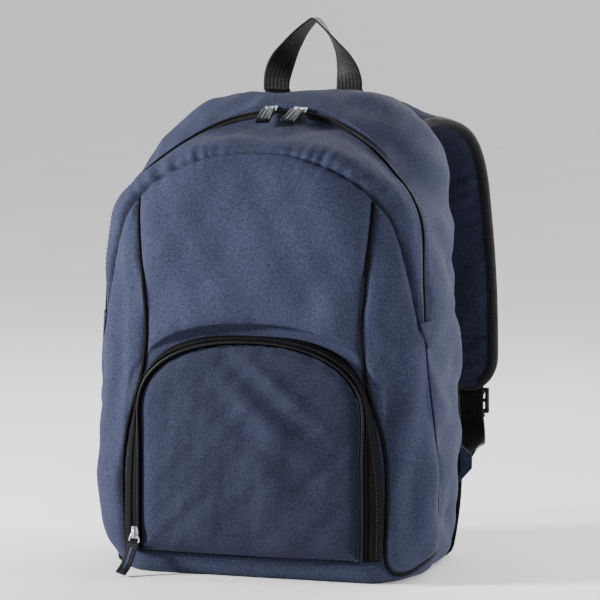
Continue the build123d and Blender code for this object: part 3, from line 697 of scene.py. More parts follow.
def shape_rear(grid):
    """Gusset over the top and sides, and the base's rear half."""
    normals = outward_normals(grid)
    rows = np.linspace(0, 1, grid.shape[0])[:, None]
    x, y, z = grid[..., 0], grid[..., 1], grid[..., 2]
    from_edge = np.minimum(rows, 1 - rows) * 130.0
    base = ease(-z, -26, -8)
    puff = 3.4 * (1 - np.exp(-from_edge / 18.0)) * (1 - 0.9 * base)
    groove = 1.0 * bell(rows * 130.0, 1.6) + 1.6 * bell((1 - rows) * 130.0, 4.0)
    top = ease(z, 300, 380)
    slack = 2.8 * waves(grid * np.array([0.8, 1, 0.8]), 95, 11) + 1.9 * waves(grid, 46, 12)
    slack += 0.8 * waves(grid * np.array([1, 0.6, 1]), 22, 13)
    dent = 7.0 * bell(y - 20, 34) * bell(z - 46, 30) + 4.5 * bell(y - 58, 26) * bell(z - 150, 24)
    fold = 2.6 * np.sin((z - 0.8 * y) / 13.0) * bell(z - 190, 45) * bell(y - 70, 34)
    low_folds = 2.2 * np.sin((z + 0.6 * y) / 9.0 + 1.0) * bell(z - 85, 50) * bell(y - 30, 50)
    sag = 2.6 * top * bell(rows - 0.55, 0.25) * np.cos(x / 38.0 + 0.4)
    calm = (1 - 0.85 * base) * (1 - bell(from_edge, 5))
    move = puff - groove + (slack - dent - fold * 0.8 - low_folds * 0.7 - sag) * calm
    shaped = grid + normals * move[..., None]
    shaped[..., 2] = np.maximum(shaped[..., 2], 0.25)
    return shaped, normals


SHAPED_FRONT, FRONT_NORMALS = shape_front(FRONT)
SHAPED_REAR, REAR_NORMALS = shape_rear(REAR)


def make_shell():
    """Front fabric and the rear gusset."""
    nodes = ["front_upper_panel", "front_gusset", "front_lower_panel", "front_base_strip", "front_fold_band",
             "left_wing_upper", "right_wing_upper", "left_wing_lower", "right_wing_lower",
             "left_zip_end_patch", "right_zip_end_patch"]
    front = piece("FrontShell", *disc(SHAPED_FRONT), BLUE, None, "body_fabric", nodes)
    thicken(front, 1.4)
    bend_with_lid(front)
    faces = grid_faces(*SHAPED_REAR.shape[:2], closed=True)
    rear = piece("RearGusset", SHAPED_REAR.reshape(-1, 3), faces, BLUE, None, "body_fabric",
                 ["rear_gusset", "base_panel"])
    thicken(rear, 1.4)
    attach(rear, BAG)


def settle(path, lift, times=6):
    """Path laid on the finished front fabric."""
    _, index = near(path, SHAPED_FRONT.reshape(-1, 3))
    found = SHAPED_FRONT.reshape(-1, 3)[index] + FRONT_NORMALS.reshape(-1, 3)[index] * lift
    return evened(found, times)


def make_piping():
    """Cord piping on both sides of the centre panel."""
    for name, line in (("Left", PIPING_LEFT), ("Right", PIPING_RIGHT)):
        path = settle(line, 0.9, 10)
        path[:, 2] = np.maximum(path[:, 2], 2.3)
        side = name.lower()
        bend_with_lid(piece(f"Piping{name}", *sweep(path, round_section(1.9, 12), (0.0, -1.0, 0.12)),
                            PIPING_CLOTH, None, "piping", [f"{side}_piping_upper", f"{side}_piping_lower"]))


def make_seam_shadows():
    """Dark cords along the real seams over the arch of the front, under the pocket and down both sides:
    painted shadow of each seam's groove.
    """
    level = np.array([[x, FRONT_Y, POCKET_LOW - 1.5] for x in np.linspace(-117, 117, 120)])
    lines = {"Arch": settle(ARCH_LINE, 0.15), "Base": settle(level, 0.15)}
    for name, side in (("Left", -1), ("Right", 1)):
        x, z = SEAM_RING[:, 0], SEAM_RING[:, 2]
        low = SEAM_RING[(z < ZIP_END_Z - 2) & (z > 22) & (x * side > 0)]
        lines[f"Side{name}"] = smooth_line(low[::4] + np.array([side * 0.1, 0, 0]), 2.0)
    for name, path in lines.items():
        seam = piece(f"Seam{name}", *sweep(path, round_section(0.55, 8), (0.0, -1.0, 0.3)), SEAM_SHADOW_CLOTH,
                     None if name == "Arch" else BAG, "body_fabric")
        if name == "Arch":
            bend_with_lid(seam)


def make_zip():
    """Main zip: a tape and half the coil on each side of its line."""
    path, out, rearward = zip_path()
    for name, sign, body, nodes in (
            ("Front", -1, None, ["main_zip_tape_front", "main_zip_coil_front"]),
            ("Rear", 1, BAG, ["main_zip_tape_rear", "main_zip_coil_rear"])):
        offsets = [(0.15, 0.0), (0.15, 0.9), (1.7, 0.4), (4.2, -1.9), (4.2, -2.6), (1.7, -0.4)]
        rings = np.stack([path + rearward * sign * a + out * b for a, b in offsets], axis=1)
        tape = piece(f"ZipTape{name}", rings.reshape(-1, 3), tube_faces(*rings.shape[:2]), TAPE_CLOTH, body,
                     "zip_tape", nodes[:1])
        centre = path + rearward * sign * 0.66 + out * 1.25
        pulse = 0.62 + 0.16 * np.cos(np.arange(len(centre)) * math.pi)
        section = round_section(1.15, 8)[None] * pulse[:, None, None]
        coil = piece(f"ZipCoil{name}", *sweep(centre, section, (0.0, 1.0, 0.01)), COIL, body, "zip_coil",
                     nodes[1:])
        if sign < 0:
            bend_with_lid(tape)
            bend_with_lid(coil)


def make_zip_patches():
    """Triangular patch sewn over each lower end of the main zip."""
    for name, side in (("Left", -1), ("Right", 1)):
        rows = []
        for share in np.linspace(0, 1, 16):
            height = 229.0 - 24.0 * share
            half = 8.0 * (1 - share) + 0.8
            depth = seam_depth(np.full(13, height)) + np.linspace(-half, half, 13)
            row = []
            for y in depth:
                ring = on_surface(np.full(RINGS.shape[1], y))[:RING_ARCH]
                right = ring[ring[:, 0] * side > 60]
                row.append(right[np.argmin(np.abs(right[:, 2] - height))])
            rows.append(row)
        grid = evened(np.array(rows), 4)
        grid[..., 0] += side * 2.3
        patch = piece(f"ZipPatch{name}", grid.reshape(-1, 3), grid_faces(16, 13), BLUE, None, "body_fabric")
        thicken(patch, 1.6, 0.0)
        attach(patch, BAG)
        edges = np.vstack([grid[:, 1], grid[::-1, -2]])
        thread = stitches(edges + np.array([side * 0.8, 0, 0]), (float(side), 0, 0), 2.2, 1.1, 0.28)
        piece(f"ZipPatchStitches{name}", *thread, THREAD_BLACK, BAG, "body_fabric")


# ---------------------------------------------------------------- pocket
def pocket_outline(grow, spacing=2.0, low=POCKET_LOW):
    """Outline of the pocket from its lower right corner over the top to the lower left one."""
    half = POCKET_HALF + grow
    leg = [(half, low), (half, 85.0), (half, POCKET_SPRING - 20)]
    points = both(np.vstack([leg, crown(half, POCKET_SPRING, POCKET_TOP + grow, POCKET_ROUND, 5)]))
    return smooth_line(points, spacing)


def make_pocket_panel():
    """Puffed pocket front with soft folds running down from its upper right."""
    outline = pocket_outline(-0.4, 2.2, POCKET_LOW + 0.4)
    width = outline[0, 0]
    base = np.stack([np.linspace(-width, width, 92)[1:-1], np.full(90, POCKET_LOW + 0.4)], axis=1)
    ring = np.vstack([outline, base])
    centre = np.array([0.0, 105.0])
    grid = np.array([upright(centre + (ring - centre) * share, POCKET_FACE)
                     for share in np.linspace(0.015, 1, 84)])
    x, z = grid[..., 0], grid[..., 2]
    edge, _ = near(grid, upright(ring, POCKET_FACE))
    dome = np.clip(1 - (x / POCKET_HALF) ** 2, 0, 1) * np.clip(1 - ((z - 100.0) / 108.0) ** 2, 0, 1)
    puff = 5.0 * (1 - np.exp(-edge / 20.0)) + 8.5 * dome - 2.8 * bell(edge, 5.0)
    diagonal = (x - 30) * 0.62 + (z - 165) * 0.78
    across = (x - 30) * -0.78 + (z - 165) * 0.62
    folds = sum(height * bell(diagonal - at, width) * bell(across - middle, reach)
                for height, at, width, middle, reach in POCKET_FOLDS)
    dents = -2.6 * bell(x - 48, 16) * bell(z - 100, 34) + 1.8 * bell(x - 20, 18) * bell(z - 78, 44)
    soft = 2.0 * waves(grid, 90, 21) + 1.2 * waves(grid, 38, 22) + 0.4 * waves(grid, 16, 23)
    gathers = 0.5 * np.sin(x / 3.1 + np.sin(x / 13.0)) * np.exp(-edge / 7.0) * ease(z, 150, 200)
    calm = 1 - np.exp(-edge / 10.0)
    grid[..., 1] -= puff + (folds + dents + soft) * calm + gathers
    roll = [upright(ring + unit(centre - ring) * inset, y)
            for inset, y in ((0.3, -84.2), (0.6, -82.6), (1.6, -81.6))]
    # The pocket panel takes the darkened blue, painted shade on its face.
    panel = piece("PocketPanel", *disc(np.concatenate([grid, np.array(roll)])), POCKET_BLUE_PAINTED_SHADE, None,
                  "body_fabric", ["pocket_panel", "pocket_zip_tape"])
    thicken(panel, 1.3)
    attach(panel, FLAP)


def make_pocket_surround():
    """Black gusset of the pocket with the zip's outer tape, and the coil along its inner edge."""
    inner = pocket_outline(0.9)
    outer = smooth_line(both(SURROUND), 2.0)
    outer = read_off(np.linspace(0, 1, len(inner)), lengths(outer) / lengths(outer)[-1], outer)
    profile = [(0.0, -80.0), (0.0, -85.6), (0.12, -86.4), (0.3, -86.2), (0.36, -84.8), (0.44, -84.4),
               (0.52, -85.2), (0.62, -84.9), (0.8, -82.5), (0.95, -79.5), (1.0, -77.4), (1.0, -75.5)]
    dense = np.linspace(0, len(profile) - 1, 34)
    profile = read_off(dense, range(len(profile)), np.array(profile))
    grid = np.array([upright(inner + (outer - inner) * share, y) for share, y in profile])
    grid[..., 1] += 0.35 * waves(grid, 40, 31) * (np.abs(profile[:, 0] - 0.6) < 0.5)[:, None]
    surround = piece("PocketGusset", grid.reshape(-1, 3), grid_faces(*grid.shape[:2]), BLACK_CLOTH, None,
                     "zip_tape", ["pocket_zip_surround"])
    thicken(surround, 1.0)
    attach(surround, BAG)
    path = upright(pocket_outline(2.5, 0.8), POCKET_FACE - 0.4)
    pulse = 1.0 + 0.22 * np.cos(np.arange(len(path)) * math.pi)
    section = round_section(1.15, 8)[None] * pulse[:, None, None]
    piece("PocketCoil", *sweep(path, section, (0.0, -1.0, 0.0)), COIL, BAG, "zip_coil", ["pocket_zip_coil"])
    rim = smooth_line(both(SURROUND), 2.0)
    rim = rim - unit(rim - np.array([0, 100.0])) * 3.5
    rows = [stitches(upright(flat, y), (0.0, -1.0, 0.0), 2.4, 1.2, 0.26)
            for flat, y in ((pocket_outline(6.2), -85.1), (rim, -84.0))]
    piece("PocketGussetStitches", *join(rows), THREAD_BLACK, BAG, "zip_tape")


# ---------------------------------------------------------------- straps
def strap_curve(side):
    """Smooth centreline, width direction, outward direction and half-width along one strap."""
    path = np.array([p[0] for p in STRAP_PATH])
    extra = np.array([[*p[1], p[2]] for p in STRAP_PATH])
    along = lengths(path)
    at = np.linspace(0, along[-1], int(along[-1] / 1.5))
    centre = cubic(along, path, at)
    rest = cubic(along, extra, at)
    run = unit(np.gradient(centre, axis=0))
    outward = unit(np.cross(rest[:, :3], run))
    across = unit(np.cross(run, outward))
    if side < 0:
        centre, outward, across = mirrored(centre), mirrored(outward), mirrored(across)
    return at, centre, across, outward, rest[:, 3]


class Strap:
    """Maps (distance along, across, up) to the strap's place in the bag's frame."""

    def __init__(self, side):
        self.at, self.centre, self.across, self.outward, self.half = strap_curve(side)
        self.end = self.at[-1]

    def place(self, along, across, up):
        centre, side, out = [read_off(along, self.at, a) for a in (self.centre, self.across, self.outward)]
        return centre + side * np.asarray(across)[..., None] + out * np.asarray(up)[..., None]

    def thread(self, along, across, up, long, gap, radius):
        """Stitches along a line that lies at a height over the strap's middle plane."""
        normal = read_off(along, self.at, self.outward) * np.sign(up)
        return stitches(self.place(along, across, up + 0 * along), normal, long, gap, radius, 0.0)

    def width(self, along):
        """Half-width, rounding off at the tip."""
        half = np.interp(along, self.at, self.half)
        left = np.clip((self.end - along) / TIP_LENGTH, 0, 1)
        return half * np.sqrt(np.clip(1 - (1 - left) ** 2.2, 0.0, 1))


def pad_mesh(strap):
    """Padded strap: two lens-shaped faces, quilted across near both ends, joined round the edge."""
    a, w = np.meshgrid(np.linspace(0.0, strap.end - 5.0, 230), np.linspace(-1, 1, 45), indexing="ij")
    half = np.maximum(strap.width(a + 3.0) - 2.4, 0.3)
    lens = np.sqrt(np.clip(1 - np.abs(w) ** 3.2, 0, 1))
    taper = 0.55 + 0.45 * ease(a, 0, 30)
    quilt = 1.3 * bell(a - (strap.end - 52), 2.0) + 0.9 * bell(a - 34, 2.5)
    sheets = []
    for sign in (1, -1):
        up = sign * 4.7 * lens * taper
        place = strap.place(a, w * half, 0 * a)
        soft = 0.5 * waves(place, 40, 41) + 0.35 * waves(place * np.array([1, 1, 2.2]), 20, 42)
        sheets.append(strap.place(a, w * half, up + sign * (soft - quilt) * lens).reshape(-1, 3))
    rows, columns = a.shape
    count = rows * columns
    faces = grid_faces(rows, columns) + grid_faces(rows, columns, base=count, flip=True)
    for r in range(rows - 1):
        for c in (0, columns - 1):
            here, after = r * columns + c, (r + 1) * columns + c
            quad = (here, after, count + after, count + here)
            faces.append(quad if c else quad[::-1])
    for c in range(columns - 1):
        for r in (0, rows - 1):
            here = r * columns + c
            faces.append((here, here + 1, count + here + 1, count + here))
    return np.vstack(sheets), faces


def binding_line(strap):
    """Edge of the strap round its tip: distance along, across, and the inward direction in both."""
    tip = np.linspace(0, math.pi, 40)[1:-1]
    run = np.linspace(0, strap.end - TIP_LENGTH, 210)
    along = np.concatenate([run, strap.end - TIP_LENGTH + 33.0 * np.sin(tip), run[::-1]])
    sign = np.concatenate([np.ones(len(run)), np.cos(tip), -np.ones(len(run))])
    reach = strap.width(along)
    reach[len(run):len(run) + len(tip)] = strap.width(np.full(len(tip), strap.end - TIP_LENGTH))
    inward_along = np.concatenate([0 * run, -np.sin(tip), 0 * run])
    inward_across = np.concatenate([-np.ones(len(run)), -np.cos(tip), np.ones(len(run))])
    return along, sign * reach, inward_along, inward_across


def make_strap(side):
    """Shoulder strap: pad, binding, stitching, then all that hangs below it."""
    name = "Right" if side > 0 else "Left"
    low = name.lower()
    strap = Strap(side)
    body = f"{low}_strap"
    # The pad takes the darkened blue, painted shade on the strap.
    pad = piece(f"StrapPad{name}", *pad_mesh(strap), STRAP_BLUE_PAINTED_SHADE, None, "body_fabric",
                [f"{low}_strap_pad", f"{low}_strap_yoke"])
    along, across, inward_along, inward_across = binding_line(strap)
    shrink = 0.62 + 0.38 * ease(along, 0, 30)
    section = [(9.2, 3.7), (8.6, 4.3), (5.5, 4.3), (2.5, 3.5), (0.7, 2.2), (0.0, 0.0),
               (0.7, -2.2), (2.5, -3.5), (5.5, -4.3), (8.6, -4.3), (9.2, -3.7), (5.0, -3.2), (1.6, -1.6),
               (1.0, 0.0), (1.6, 1.6), (5.0, 3.2)]
    rings = np.stack([strap.place(along + inward_along * inset, across + inward_across * inset, up * shrink)
                      for inset, up in section], axis=1)
    binding = piece(f"StrapBinding{name}", rings.reshape(-1, 3), tube_faces(*rings.shape[:2]), BINDING_CLOTH,
                    None, "strap_binding", [f"{low}_strap_binding"])
    hem = 7.6
    hem_along, hem_across = (along + inward_along * hem)[4:-4], (across + inward_across * hem)[4:-4]
    box = crossed_box(12.0, strap.end - 52.0, strap.end - 26.0, 20)
    rows = [strap.thread(hem_along, hem_across, up, 2.6, 1.3, 0.28) for up in (4.5, -4.5)]
    rows += [strap.thread(box[:, 1], box[:, 0], up, 2.2, 1.0, 0.3) for up in (5.0, -5.0)]
    thread = piece(f"StrapStitches{name}", *join(rows), THREAD_BLACK, None, "strap_binding")
    start, end = [strap.place(np.array(a), np.array(0.0), np.array(0.0)) * MM for a in (4.0, 48.0)]
    for soft in (pad, binding, thread):
        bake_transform(soft)
    make_lower_strap(side, name, low, body)


def make_lower_strap(side, name, low, body):
    """Keeper webbing, ladder lock, adjusting webbing and the tab it is sewn to."""
    flip = np.array([side, 1.0, 1.0])
    lock = (np.array(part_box(f"{low}_ladder_lock")).mean(axis=0)) / MM * flip
    x, face_y = STRAP_PATH[-1][0][0], 170.6
    path = smooth_line([(x, face_y, 190), (x, face_y, 165), (x, face_y + 0.4, 150), (x, face_y + 2.2, 143),
                        (x, lock[1] + 2.9, lock[2] + 11), (x, lock[1], lock[2] + 5.6),
                        (x, lock[1] - 2.8, lock[2] + 9.5), (x, face_y - 0.6, 145)], 1.0)
    piece(f"KeeperWebbing{name}", *flat_webbing(path * flip, np.array([1.0, 0, 0]), WEBBING, 1.5),
          WEBBING_CLOTH, body, "black_webbing", [f"{low}_keeper_webbing"])

    bars = []
    for z, thick in ((10.0, 3.4), (0.0, 3.0), (-10.0, 3.6)):
        bar = np.array([[x, 0.0, z] for x in np.linspace(-15.5, 15.5, 9)])
        bars.append(sweep(bar + lock, round_section(thick / 2 * 1.2, 12, 0.85), (0, 1, 0)))
    for s in (-1, 1):
        rail = np.array([[s * (15.1 + 0.3 * math.cos(z / 8.0)), -0.9 * math.cos(z / 6.0), z]
                         for z in np.linspace(-11.5, 11.5, 15)])
        bars.append(sweep(rail + lock, round_section(2.1, 12), (0, 1, 0)))
    tongue = np.array([[0, -0.6, -10.5], [0, 0.4, -13.0], [0, 2.6, -15.5]])
    plate = strap_section(26.0, 2.4)
    bars.append(sweep(smooth_line(tongue, 0.8) + lock, plate, (0, 1, 0.4)))
    vertices, faces = join(bars)
    piece(f"LadderLock{name}", vertices * flip, faces, PLASTIC, body, "buckle_plastic",
          [f"{low}_ladder_lock"])

    tab = np.array(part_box(f"{low}_strap_tab")) / MM
    tab_x, tab_z = np.abs(tab[:, 0]).max(), tab[:, 2].mean()
    path = smooth_line([(x, lock[1] - 2.4, lock[2] + 8.0), (x, lock[1] - 3.0, lock[2] - 2.0),
                        (x + 0.2, lock[1] - 2.6, lock[2] - 14.0), (132.5, 169.5, 110.0),
                        (135.5, 160.5, 99.0), (140.0, 145.0, 93.0), (145.0, 124.0, 91.0),
                        (tab_x - 4.0, 104.0, tab_z + 1.0), (tab_x - 3.0, 95.5, tab_z)], 1.2)
    turn = ease(np.linspace(0, 1, len(path)), 0.3, 1.0)[:, None]
    across = unit(np.array([[1.0, 0.0, 0.0]]) * (1 - turn) + np.array([[0.42, 0.25, 0.87]]) * turn)
    webbing = piece(f"AdjustWebbing{name}", *flat_webbing(path * flip, across * flip, WEBBING, 1.5),
                    WEBBING_CLOTH, None, "black_webbing", [f"{low}_lower_webbing"])
    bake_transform(webbing)
    make_tab(side, name, low, tab_x, tab_z)


def flat_webbing(path, across, width, thick):
    """Webbing whose width direction is given, one for all or one per point."""
    section = strap_section(width, thick, 7, 0.1)
    across = np.broadcast_to(across, path.shape)
    tangent = unit(np.gradient(path, axis=0))
    up = unit(np.cross(tangent, across))
    across = unit(np.cross(up, tangent))
    rings = path[:, None] + across[:, None] * section[None, :, :1] + up[:, None] * section[None, :, 1:]
    return rings.reshape(-1, 3), tube_faces(*rings.shape[:2])


def make_tab(side, name, low, tab_x, tab_z):
    """Folded triangle of body fabric sewn into the rear side seam."""
    rows = []
    for share in np.linspace(0, 1, 18):
        x = 134.0 + (tab_x - 134.0) * share
        half = 25.0 * (1 - share) + 6.5 * share
        z = np.linspace(-half, half, 25)
        y = 93.6 + 1.6 * share + 0.5 * np.cos(z / 5.0) * (1 - share)
        rows.append(np.stack([np.full(25, x), y, tab_z + z - 3.0 * (1 - share)], axis=1))
    grid = np.array(rows) * np.array([side, 1.0, 1.0])
    obj = piece(f"StrapTab{name}", grid.reshape(-1, 3), grid_faces(18, 25), BLUE, None, "body_fabric",
                [f"{low}_strap_tab"])
    thicken(obj, 3.0, 0.0, bevel=1.0)
    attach(obj, BAG)


# ---------------------------------------------------------------- handle
def make_handle():
    """Webbing loop: broadside at its feet, twisted to a sharp crease at the top."""
    foot_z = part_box("handle_loop")[0][2] / MM
    leg = np.array([(FOOT_X, 96.3, foot_z - 2.2), (34.8, 96.5, foot_z + 7.0), (31.5, 97.6, foot_z + 20.0),
                    (22.5, 99.6, foot_z + 37.0), (11.5, 102.0, foot_z + 52.0), (2.8, 104.0, foot_z + 61.5)])
    turns = np.array([0.0, 4.0, 26.0, 56.0, 76.0, 86.0])
    path = np.vstack([mirrored(leg), [(0.0, 104.0, foot_z + 63.4)], leg[::-1]])
    angles = np.concatenate([turns, [90.0], 180.0 - turns[::-1]])
    along = lengths(path)
    at = np.linspace(0, along[-1], 170)
    line = cubic(along, path, at)
    angle = np.radians(np.interp(at, along, angles))
    across = np.stack([np.cos(angle), np.sin(angle), 0 * angle], axis=1)
    piece("HandleLoop", *flat_webbing(line, across, WEBBING, 2.0), WEBBING_CLOTH, "handle", "black_webbing",
          ["handle_loop"])
    parts, rows = [], []
    for x in (-FOOT_X, FOOT_X):
        foot = np.array([[x, 99.2, z] for z in np.linspace(398, foot_z - 1.4, 26)])
        parts.append(flat_webbing(foot, np.array([1.0, 0, 0]), WEBBING, 2.2))
        placed = upright(crossed_box(9, 401, 416, 16), 100.5) + np.array([x, 0, 0])
        rows.append(stitches(placed, (0.0, 1.0, 0.0), 2.2, 1.0, 0.3))
    piece("HandleFeet", *join(parts), WEBBING_CLOTH, BAG, "black_webbing", ["handle_feet"])
    piece("HandleFeetStitches", *join(rows), THREAD_BLACK, BAG, "black_webbing")


# ---------------------------------------------------------------- back panel
def make_back():
    """Padded back panel with sewn channels, standing in for the foam behind it too, and its binding."""
    ring = round_foot(on_surface(np.full(RINGS.shape[1], REAR_Y))[None])[0]
    centre = np.array([0.0, REAR_Y, 190.0])
    grid = centre + (ring - centre)[None] * np.linspace(0.012, 1, 120)[:, None, None]
    x, z = grid[..., 0], grid[..., 2]
    edge, _ = near(grid, ring)
    puff = 6.0 * (1 - np.exp(-edge / 14.0))
    channel = np.abs(np.abs(x) - 34.0 - 0.05 * (z - 200))
    lines = bell(channel, 3.2) * ease(z, 40, 60) * ease(-z, -385, -365)
    for height in (70.0, 145.0, 220.0, 295.0, 365.0):
        lines = np.maximum(lines, bell(z - height - 0.10 * np.abs(x), 3.2) * ease(np.abs(x), 34, 37))
    soft = 0.8 * waves(grid, 70, 51) + 0.35 * waves(grid, 26, 52)
    grid[..., 1] += (puff + soft) * (1 - 0.72 * lines) * (1 - np.exp(-edge / 4.0))
    back = piece("BackPanel", *disc(grid), BLUE, None, "body_fabric", ["back_panel", "back_foam"])
    thicken(back, 2.0)
    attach(back, BAG)
    path = ring[::3].copy()
    path[:, 2] = np.maximum(path[:, 2], 2.6)
    path = path + unit(ring[::3] - np.array([0, REAR_Y, 200.0])) * 0.6
    cord = sweep(path, round_section(2.5, 12), (0.0, 1.0, 0.0), closed=True)
    piece("RearBinding", *cord, PIPING_CLOTH, BAG, "piping", ["rear_seam_binding"])


# ---------------------------------------------------------------- sliders and pullers
def oriented(points, origin, directions):
    """Points given in local axes, placed at an origin."""
    return np.asarray(origin, float) + np.asarray(points, float) @ np.asarray(directions, float)


def soft_box(size, bevel, steps=3):
    """Rounded box centred on the origin."""
    work = bmesh.new()
    bmesh.ops.create_cube(work, size=1.0)
    for v in work.verts:
        v.co = Vector((v.co.x * size[0], v.co.y * size[1], v.co.z * size[2]))
    bmesh.ops.bevel(work, geom=work.edges[:], offset=bevel, segments=steps, profile=0.6, affect="EDGES")
    work.verts.index_update()
    vertices = np.array([v.co[:] for v in work.verts])
    faces = [tuple(v.index for v in f.verts) for f in work.faces]
    work.free()
    return vertices, faces


def joint(name):
    """Joint of the shared frame by its name."""
    return next(j for j in frame["joints"] if j["name"] == name)


def upper_side(tangent, ahead):
    """Direction square to both that points upward."""
    above = unit(np.cross(tangent, ahead))
    return above * np.sign(above[2])


def block(size, bevel, shift, origin, axes):
    """Rounded box shifted along local axes, placed at an origin."""
    vertices, faces = soft_box(size, bevel)
    return oriented(vertices + np.array(shift), origin, axes), faces


def make_main_slider(low):
    """Slider, link and boxed glossy tab with a thin blue line."""
    name = low.capitalize()
    puller = f"{low}_puller"
    hinge = joint(f"{low}_puller_flip")
    pin = np.array(hinge["pos_m"]) / MM
    tangent = -unit(np.array(hinge["axis"], float))
    rest = np.array(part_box(f"{low}_main_puller")).mean(axis=0) / MM
    ahead = unit(rest - pin)
    above = upper_side(tangent, ahead)
    tangent = unit(np.cross(ahead, above))
    axes = np.array([tangent, ahead, above])
    flat_ahead = unit(ahead - above * math.tan(math.radians(9.0)))
    flat_above = upper_side(tangent, flat_ahead)
    slider_axes = np.array([tangent, flat_ahead, flat_above])
    origin = pin - flat_above * 2.55 - flat_ahead * 1.5
    plate, faces = soft_box((11.0, 9.0, 2.0), 0.8)
    plate[:, 1] *= 1 - 0.22 * np.abs(plate[:, 0]) / 5.5
    parts = [(oriented(plate, origin, slider_axes), faces)]
    parts += [block((1.3, 3.4, 3.0), 0.4, (x, 1.5, 2.0), origin, slider_axes) for x in (-4.2, 4.2)]
    piece(f"Slider{name}", *join(parts), METAL, f"{low}_slider", "slider_metal", [f"{low}_main_slider"])
    turn = np.linspace(0, 2 * math.pi, 40, endpoint=False)
    across = 2.9 * np.sign(np.cos(turn)) * np.abs(np.cos(turn)) ** 0.6
    ring = np.stack([across, 3.4 + 4.0 * np.sin(turn), 0 * turn], axis=1)
    link = sweep(oriented(ring, pin, axes), round_section(0.7, 8), above, closed=True)
    piece(f"PullerLink{name}", *link, METAL, puller, "slider_metal", [f"{low}_main_puller_link"])
    tab, faces = soft_box((12.0, 24.5, 3.6), 1.1, 4)
    tab[:, 0] *= 1 + 0.08 * tab[:, 1] / 12.0
    tab[:, 2] += 0.9 * (1 - (tab[:, 0] / 6.0) ** 2) * np.sign(tab[:, 2]) * (np.abs(tab[:, 2]) > 0.5)
    parts = [(oriented(tab + np.array([0, 18.4, 0]), pin, axes), faces)]
    parts += [block((1.5, 23.0, 1.5), 0.5, (x, 18.6, 2.1), pin, axes) for x in (-4.6, 4.6)]
    parts.append(block((8.0, 4.2, 3.0), 0.9, (0, 7.4, 0), pin, axes))
    piece(f"PullerTab{name}", *join(parts), PULLER, puller, "puller_tab", [f"{low}_main_puller"])
    line = block((1.3, 19.0, 0.8), 0.3, (0.4, 19.0, 2.75), pin, axes)
    piece(f"PullerLine{name}", *line, BLUE_LINE, puller, "puller_tab")


def make_pocket_slider():
    """Slider on the pocket zip's left leg, its ring and the webbing puller with a blue stripe."""
    box = np.array(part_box("pocket_slider")) / MM
    centre = box.mean(axis=0)
    body, faces = soft_box((7.6, 2.6, 11.0), 0.9)
    body[:, 0] *= 1 - 0.25 * ease(body[:, 2], 1.0, 5.5)
    parts = [(body + np.array([centre[0], box[1][1] - 1.0, centre[2]]), faces)]
    arch = np.array([[centre[0], box[1][1] - 2.0 - 2.6 * math.sin(t), centre[2] + 4.0 * math.cos(t)]
                     for t in np.linspace(0, math.pi, 14)])
    parts.append(sweep(arch, round_section(0.95, 10), (1, 0, 0)))
    piece("PocketSlider", *join(parts), METAL, "pocket_slider", "slider_metal", ["pocket_slider"])
    pin = np.array(joint("pocket_pull_swing")["pos_m"]) / MM
    turn = np.linspace(0, 2 * math.pi, 48, endpoint=False)
    ring = pin + np.stack([4.4 * np.sin(turn), 0 * turn, -4.6 + 5.2 * np.cos(turn)], axis=1)
    link = sweep(ring, round_section(0.75, 10), (0.0, -1.0, 0.0), closed=True)
    piece("PocketRing", *link, METAL, "pocket_pull", "slider_metal", ["pocket_ring"])
    route = [(0, 0.6, -6.5), (-0.4, -1.2, -9.0), (-2.4, -1.8, -14.0), (-4.4, -2.8, -21.0),
             (-6.4, -6.4, -28.0), (-8.2, -13.0, -33.0)]
    path = pin + smooth_line(route, 0.9)
    across = np.array([0.97, 0.0, -0.2])
    piece("PocketPuller", *flat_webbing(path, across, 10.0, 2.2), WEBBING_CLOTH, "pocket_pull",
          "black_webbing", ["pocket_puller"])
    stripe = flat_webbing(path[6:-1] + np.array([0, -1.0, 0.15]), across, 2.0, 0.7)
    piece("PocketPullerStripe", *stripe, BLUE_LINE, "pocket_pull", "black_webbing")


# ---------------------------------------------------------------- stitching on the body
def make_body_stitches():
    """Topstitch under the pocket and along the zip's hems."""
    cloud, out = SHAPED_FRONT.reshape(-1, 3), FRONT_NORMALS.reshape(-1, 3)
    line = np.array([[x, FRONT_Y, POCKET_LOW - 5.5] for x in np.linspace(-116, 116, 118)])
    _, index = near(line, cloud)
    thread = stitches(cloud[index], out[index], 2.8, 1.3, 0.3)
    piece("BaseStripStitches", *thread, THREAD_BLUE, BAG, "body_fabric")
    path, _, rearward = zip_path()
    for name, sign, shaped, normals in (("Front", -1, SHAPED_FRONT, FRONT_NORMALS),
                                        ("Rear", 1, SHAPED_REAR, REAR_NORMALS)):
        cloud, out = shaped.reshape(-1, 3), normals.reshape(-1, 3)
        _, index = near(path + rearward * sign * 8.0, cloud)
        thread = stitches(evened(cloud[index], 8), out[index], 2.8, 1.3, 0.28)
        row = piece(f"ZipStitches{name}", *thread, THREAD_BLUE, None if sign < 0 else BAG, "body_fabric")
        if sign < 0:
            bend_with_lid(row)


# ---------------------------------------------------------------- scene
def make_inside():
    """Stiffener board on the bag's floor."""
    board, faces = soft_box((216.0, 130.0, 2.4), 0.8)
    low = np.array(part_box("base_stiffener")) / MM
    piece("BaseBoard", board + low.mean(axis=0), faces, PLASTIC, BAG, "stiffener_board", ["base_stiffener"])


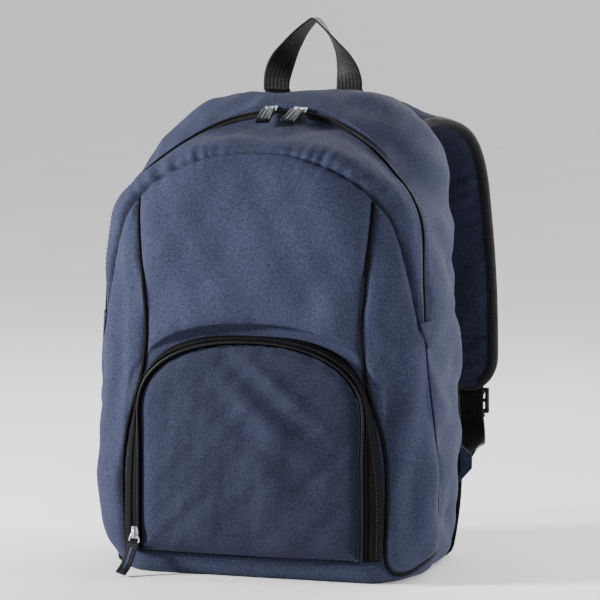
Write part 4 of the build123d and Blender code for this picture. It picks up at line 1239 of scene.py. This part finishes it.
def make_stage():
    """Pale floor and even surroundings."""
    floor = bpy.data.meshes.new("Floor")
    reach = 400.0
    corners = [(-reach, -reach, 0), (reach, -reach, 0), (reach, reach, 0), (-reach, reach, 0)]
    floor.from_pydata(corners, [], [(0, 1, 2, 3)])
    obj = linked("Floor", floor)
    n = Nodes("FloorPaper")
    floor.materials.append(n.finish(n.ramp(n.noise(3.0), (0.86, 0.86, 0.865), (0.9, 0.9, 0.9)), 0.8))
    world = bpy.data.worlds.new("Studio")
    world.use_nodes = True
    world.node_tree.nodes["Background"].inputs["Color"].default_value = (1.0, 1.0, 1.0, 1.0)
    world.node_tree.nodes["Background"].inputs["Strength"].default_value = 0.36
    bpy.context.scene.world = world


def aimed(obj, direction):
    """Turns a lamp or the camera to look along a direction."""
    obj.rotation_euler = Vector(direction).to_track_quat("-Z", "Y").to_euler()


def make_lights():
    """Key from the left, weak fill, rims from the right and above, and a soft sun behind the bag."""
    discs = [("Key", (-2.2, -1.15, 0.95), 0.5, 215.0), ("Fill", (1.6, -1.5, 0.6), 1.4, 3.0),
             ("Rim", (1.8, 0.15, 0.5), 0.4, 34.0), ("Top", (-0.1, 1.2, 1.3), 0.9, 10.0)]
    for name, place, size, power in discs:
        data = bpy.data.lights.new(name, "AREA")
        data.shape, data.size, data.energy = "DISK", size, power
        lamp = linked(name, data)
        lamp.location = place
        aimed(lamp, Vector((0.0, 0.0, 0.25)) - Vector(place))
    data = bpy.data.lights.new("Backlight", "SUN")
    data.energy, data.angle = 4.2, 1.0
    aimed(linked("Backlight", data), (-0.5, -1.0, -0.5))


def make_camera():
    """Long lens from the front, to the bag's right and a little above."""
    azimuth, elevation = math.radians(18.0), math.radians(5.5)
    ahead = Vector((-math.sin(azimuth) * math.cos(elevation), math.cos(azimuth) * math.cos(elevation),
                    -math.sin(elevation)))
    right = Vector((math.cos(azimuth), math.sin(azimuth), 0.0))
    up = right.cross(ahead)
    distance, view_width = 3.0, 0.541
    aim = right * 0.018 + up * 0.2385
    data = bpy.data.cameras.new("Camera")
    data.sensor_width = 36.0
    data.lens = data.sensor_width * distance / view_width
    obj = linked("Camera", data)
    obj.location = aim - ahead * distance
    aimed(obj, ahead)
    bpy.context.scene.camera = obj


make_camera()
make_lights()
make_stage()
make_shell()
make_piping()
make_seam_shadows()
make_zip()
make_zip_patches()
make_pocket_panel()
make_pocket_surround()
make_back()
for each_side in (1, -1):
    make_strap(each_side)
make_handle()
for each in ("left", "right"):
    make_main_slider(each)
make_pocket_slider()
make_body_stitches()
make_inside()
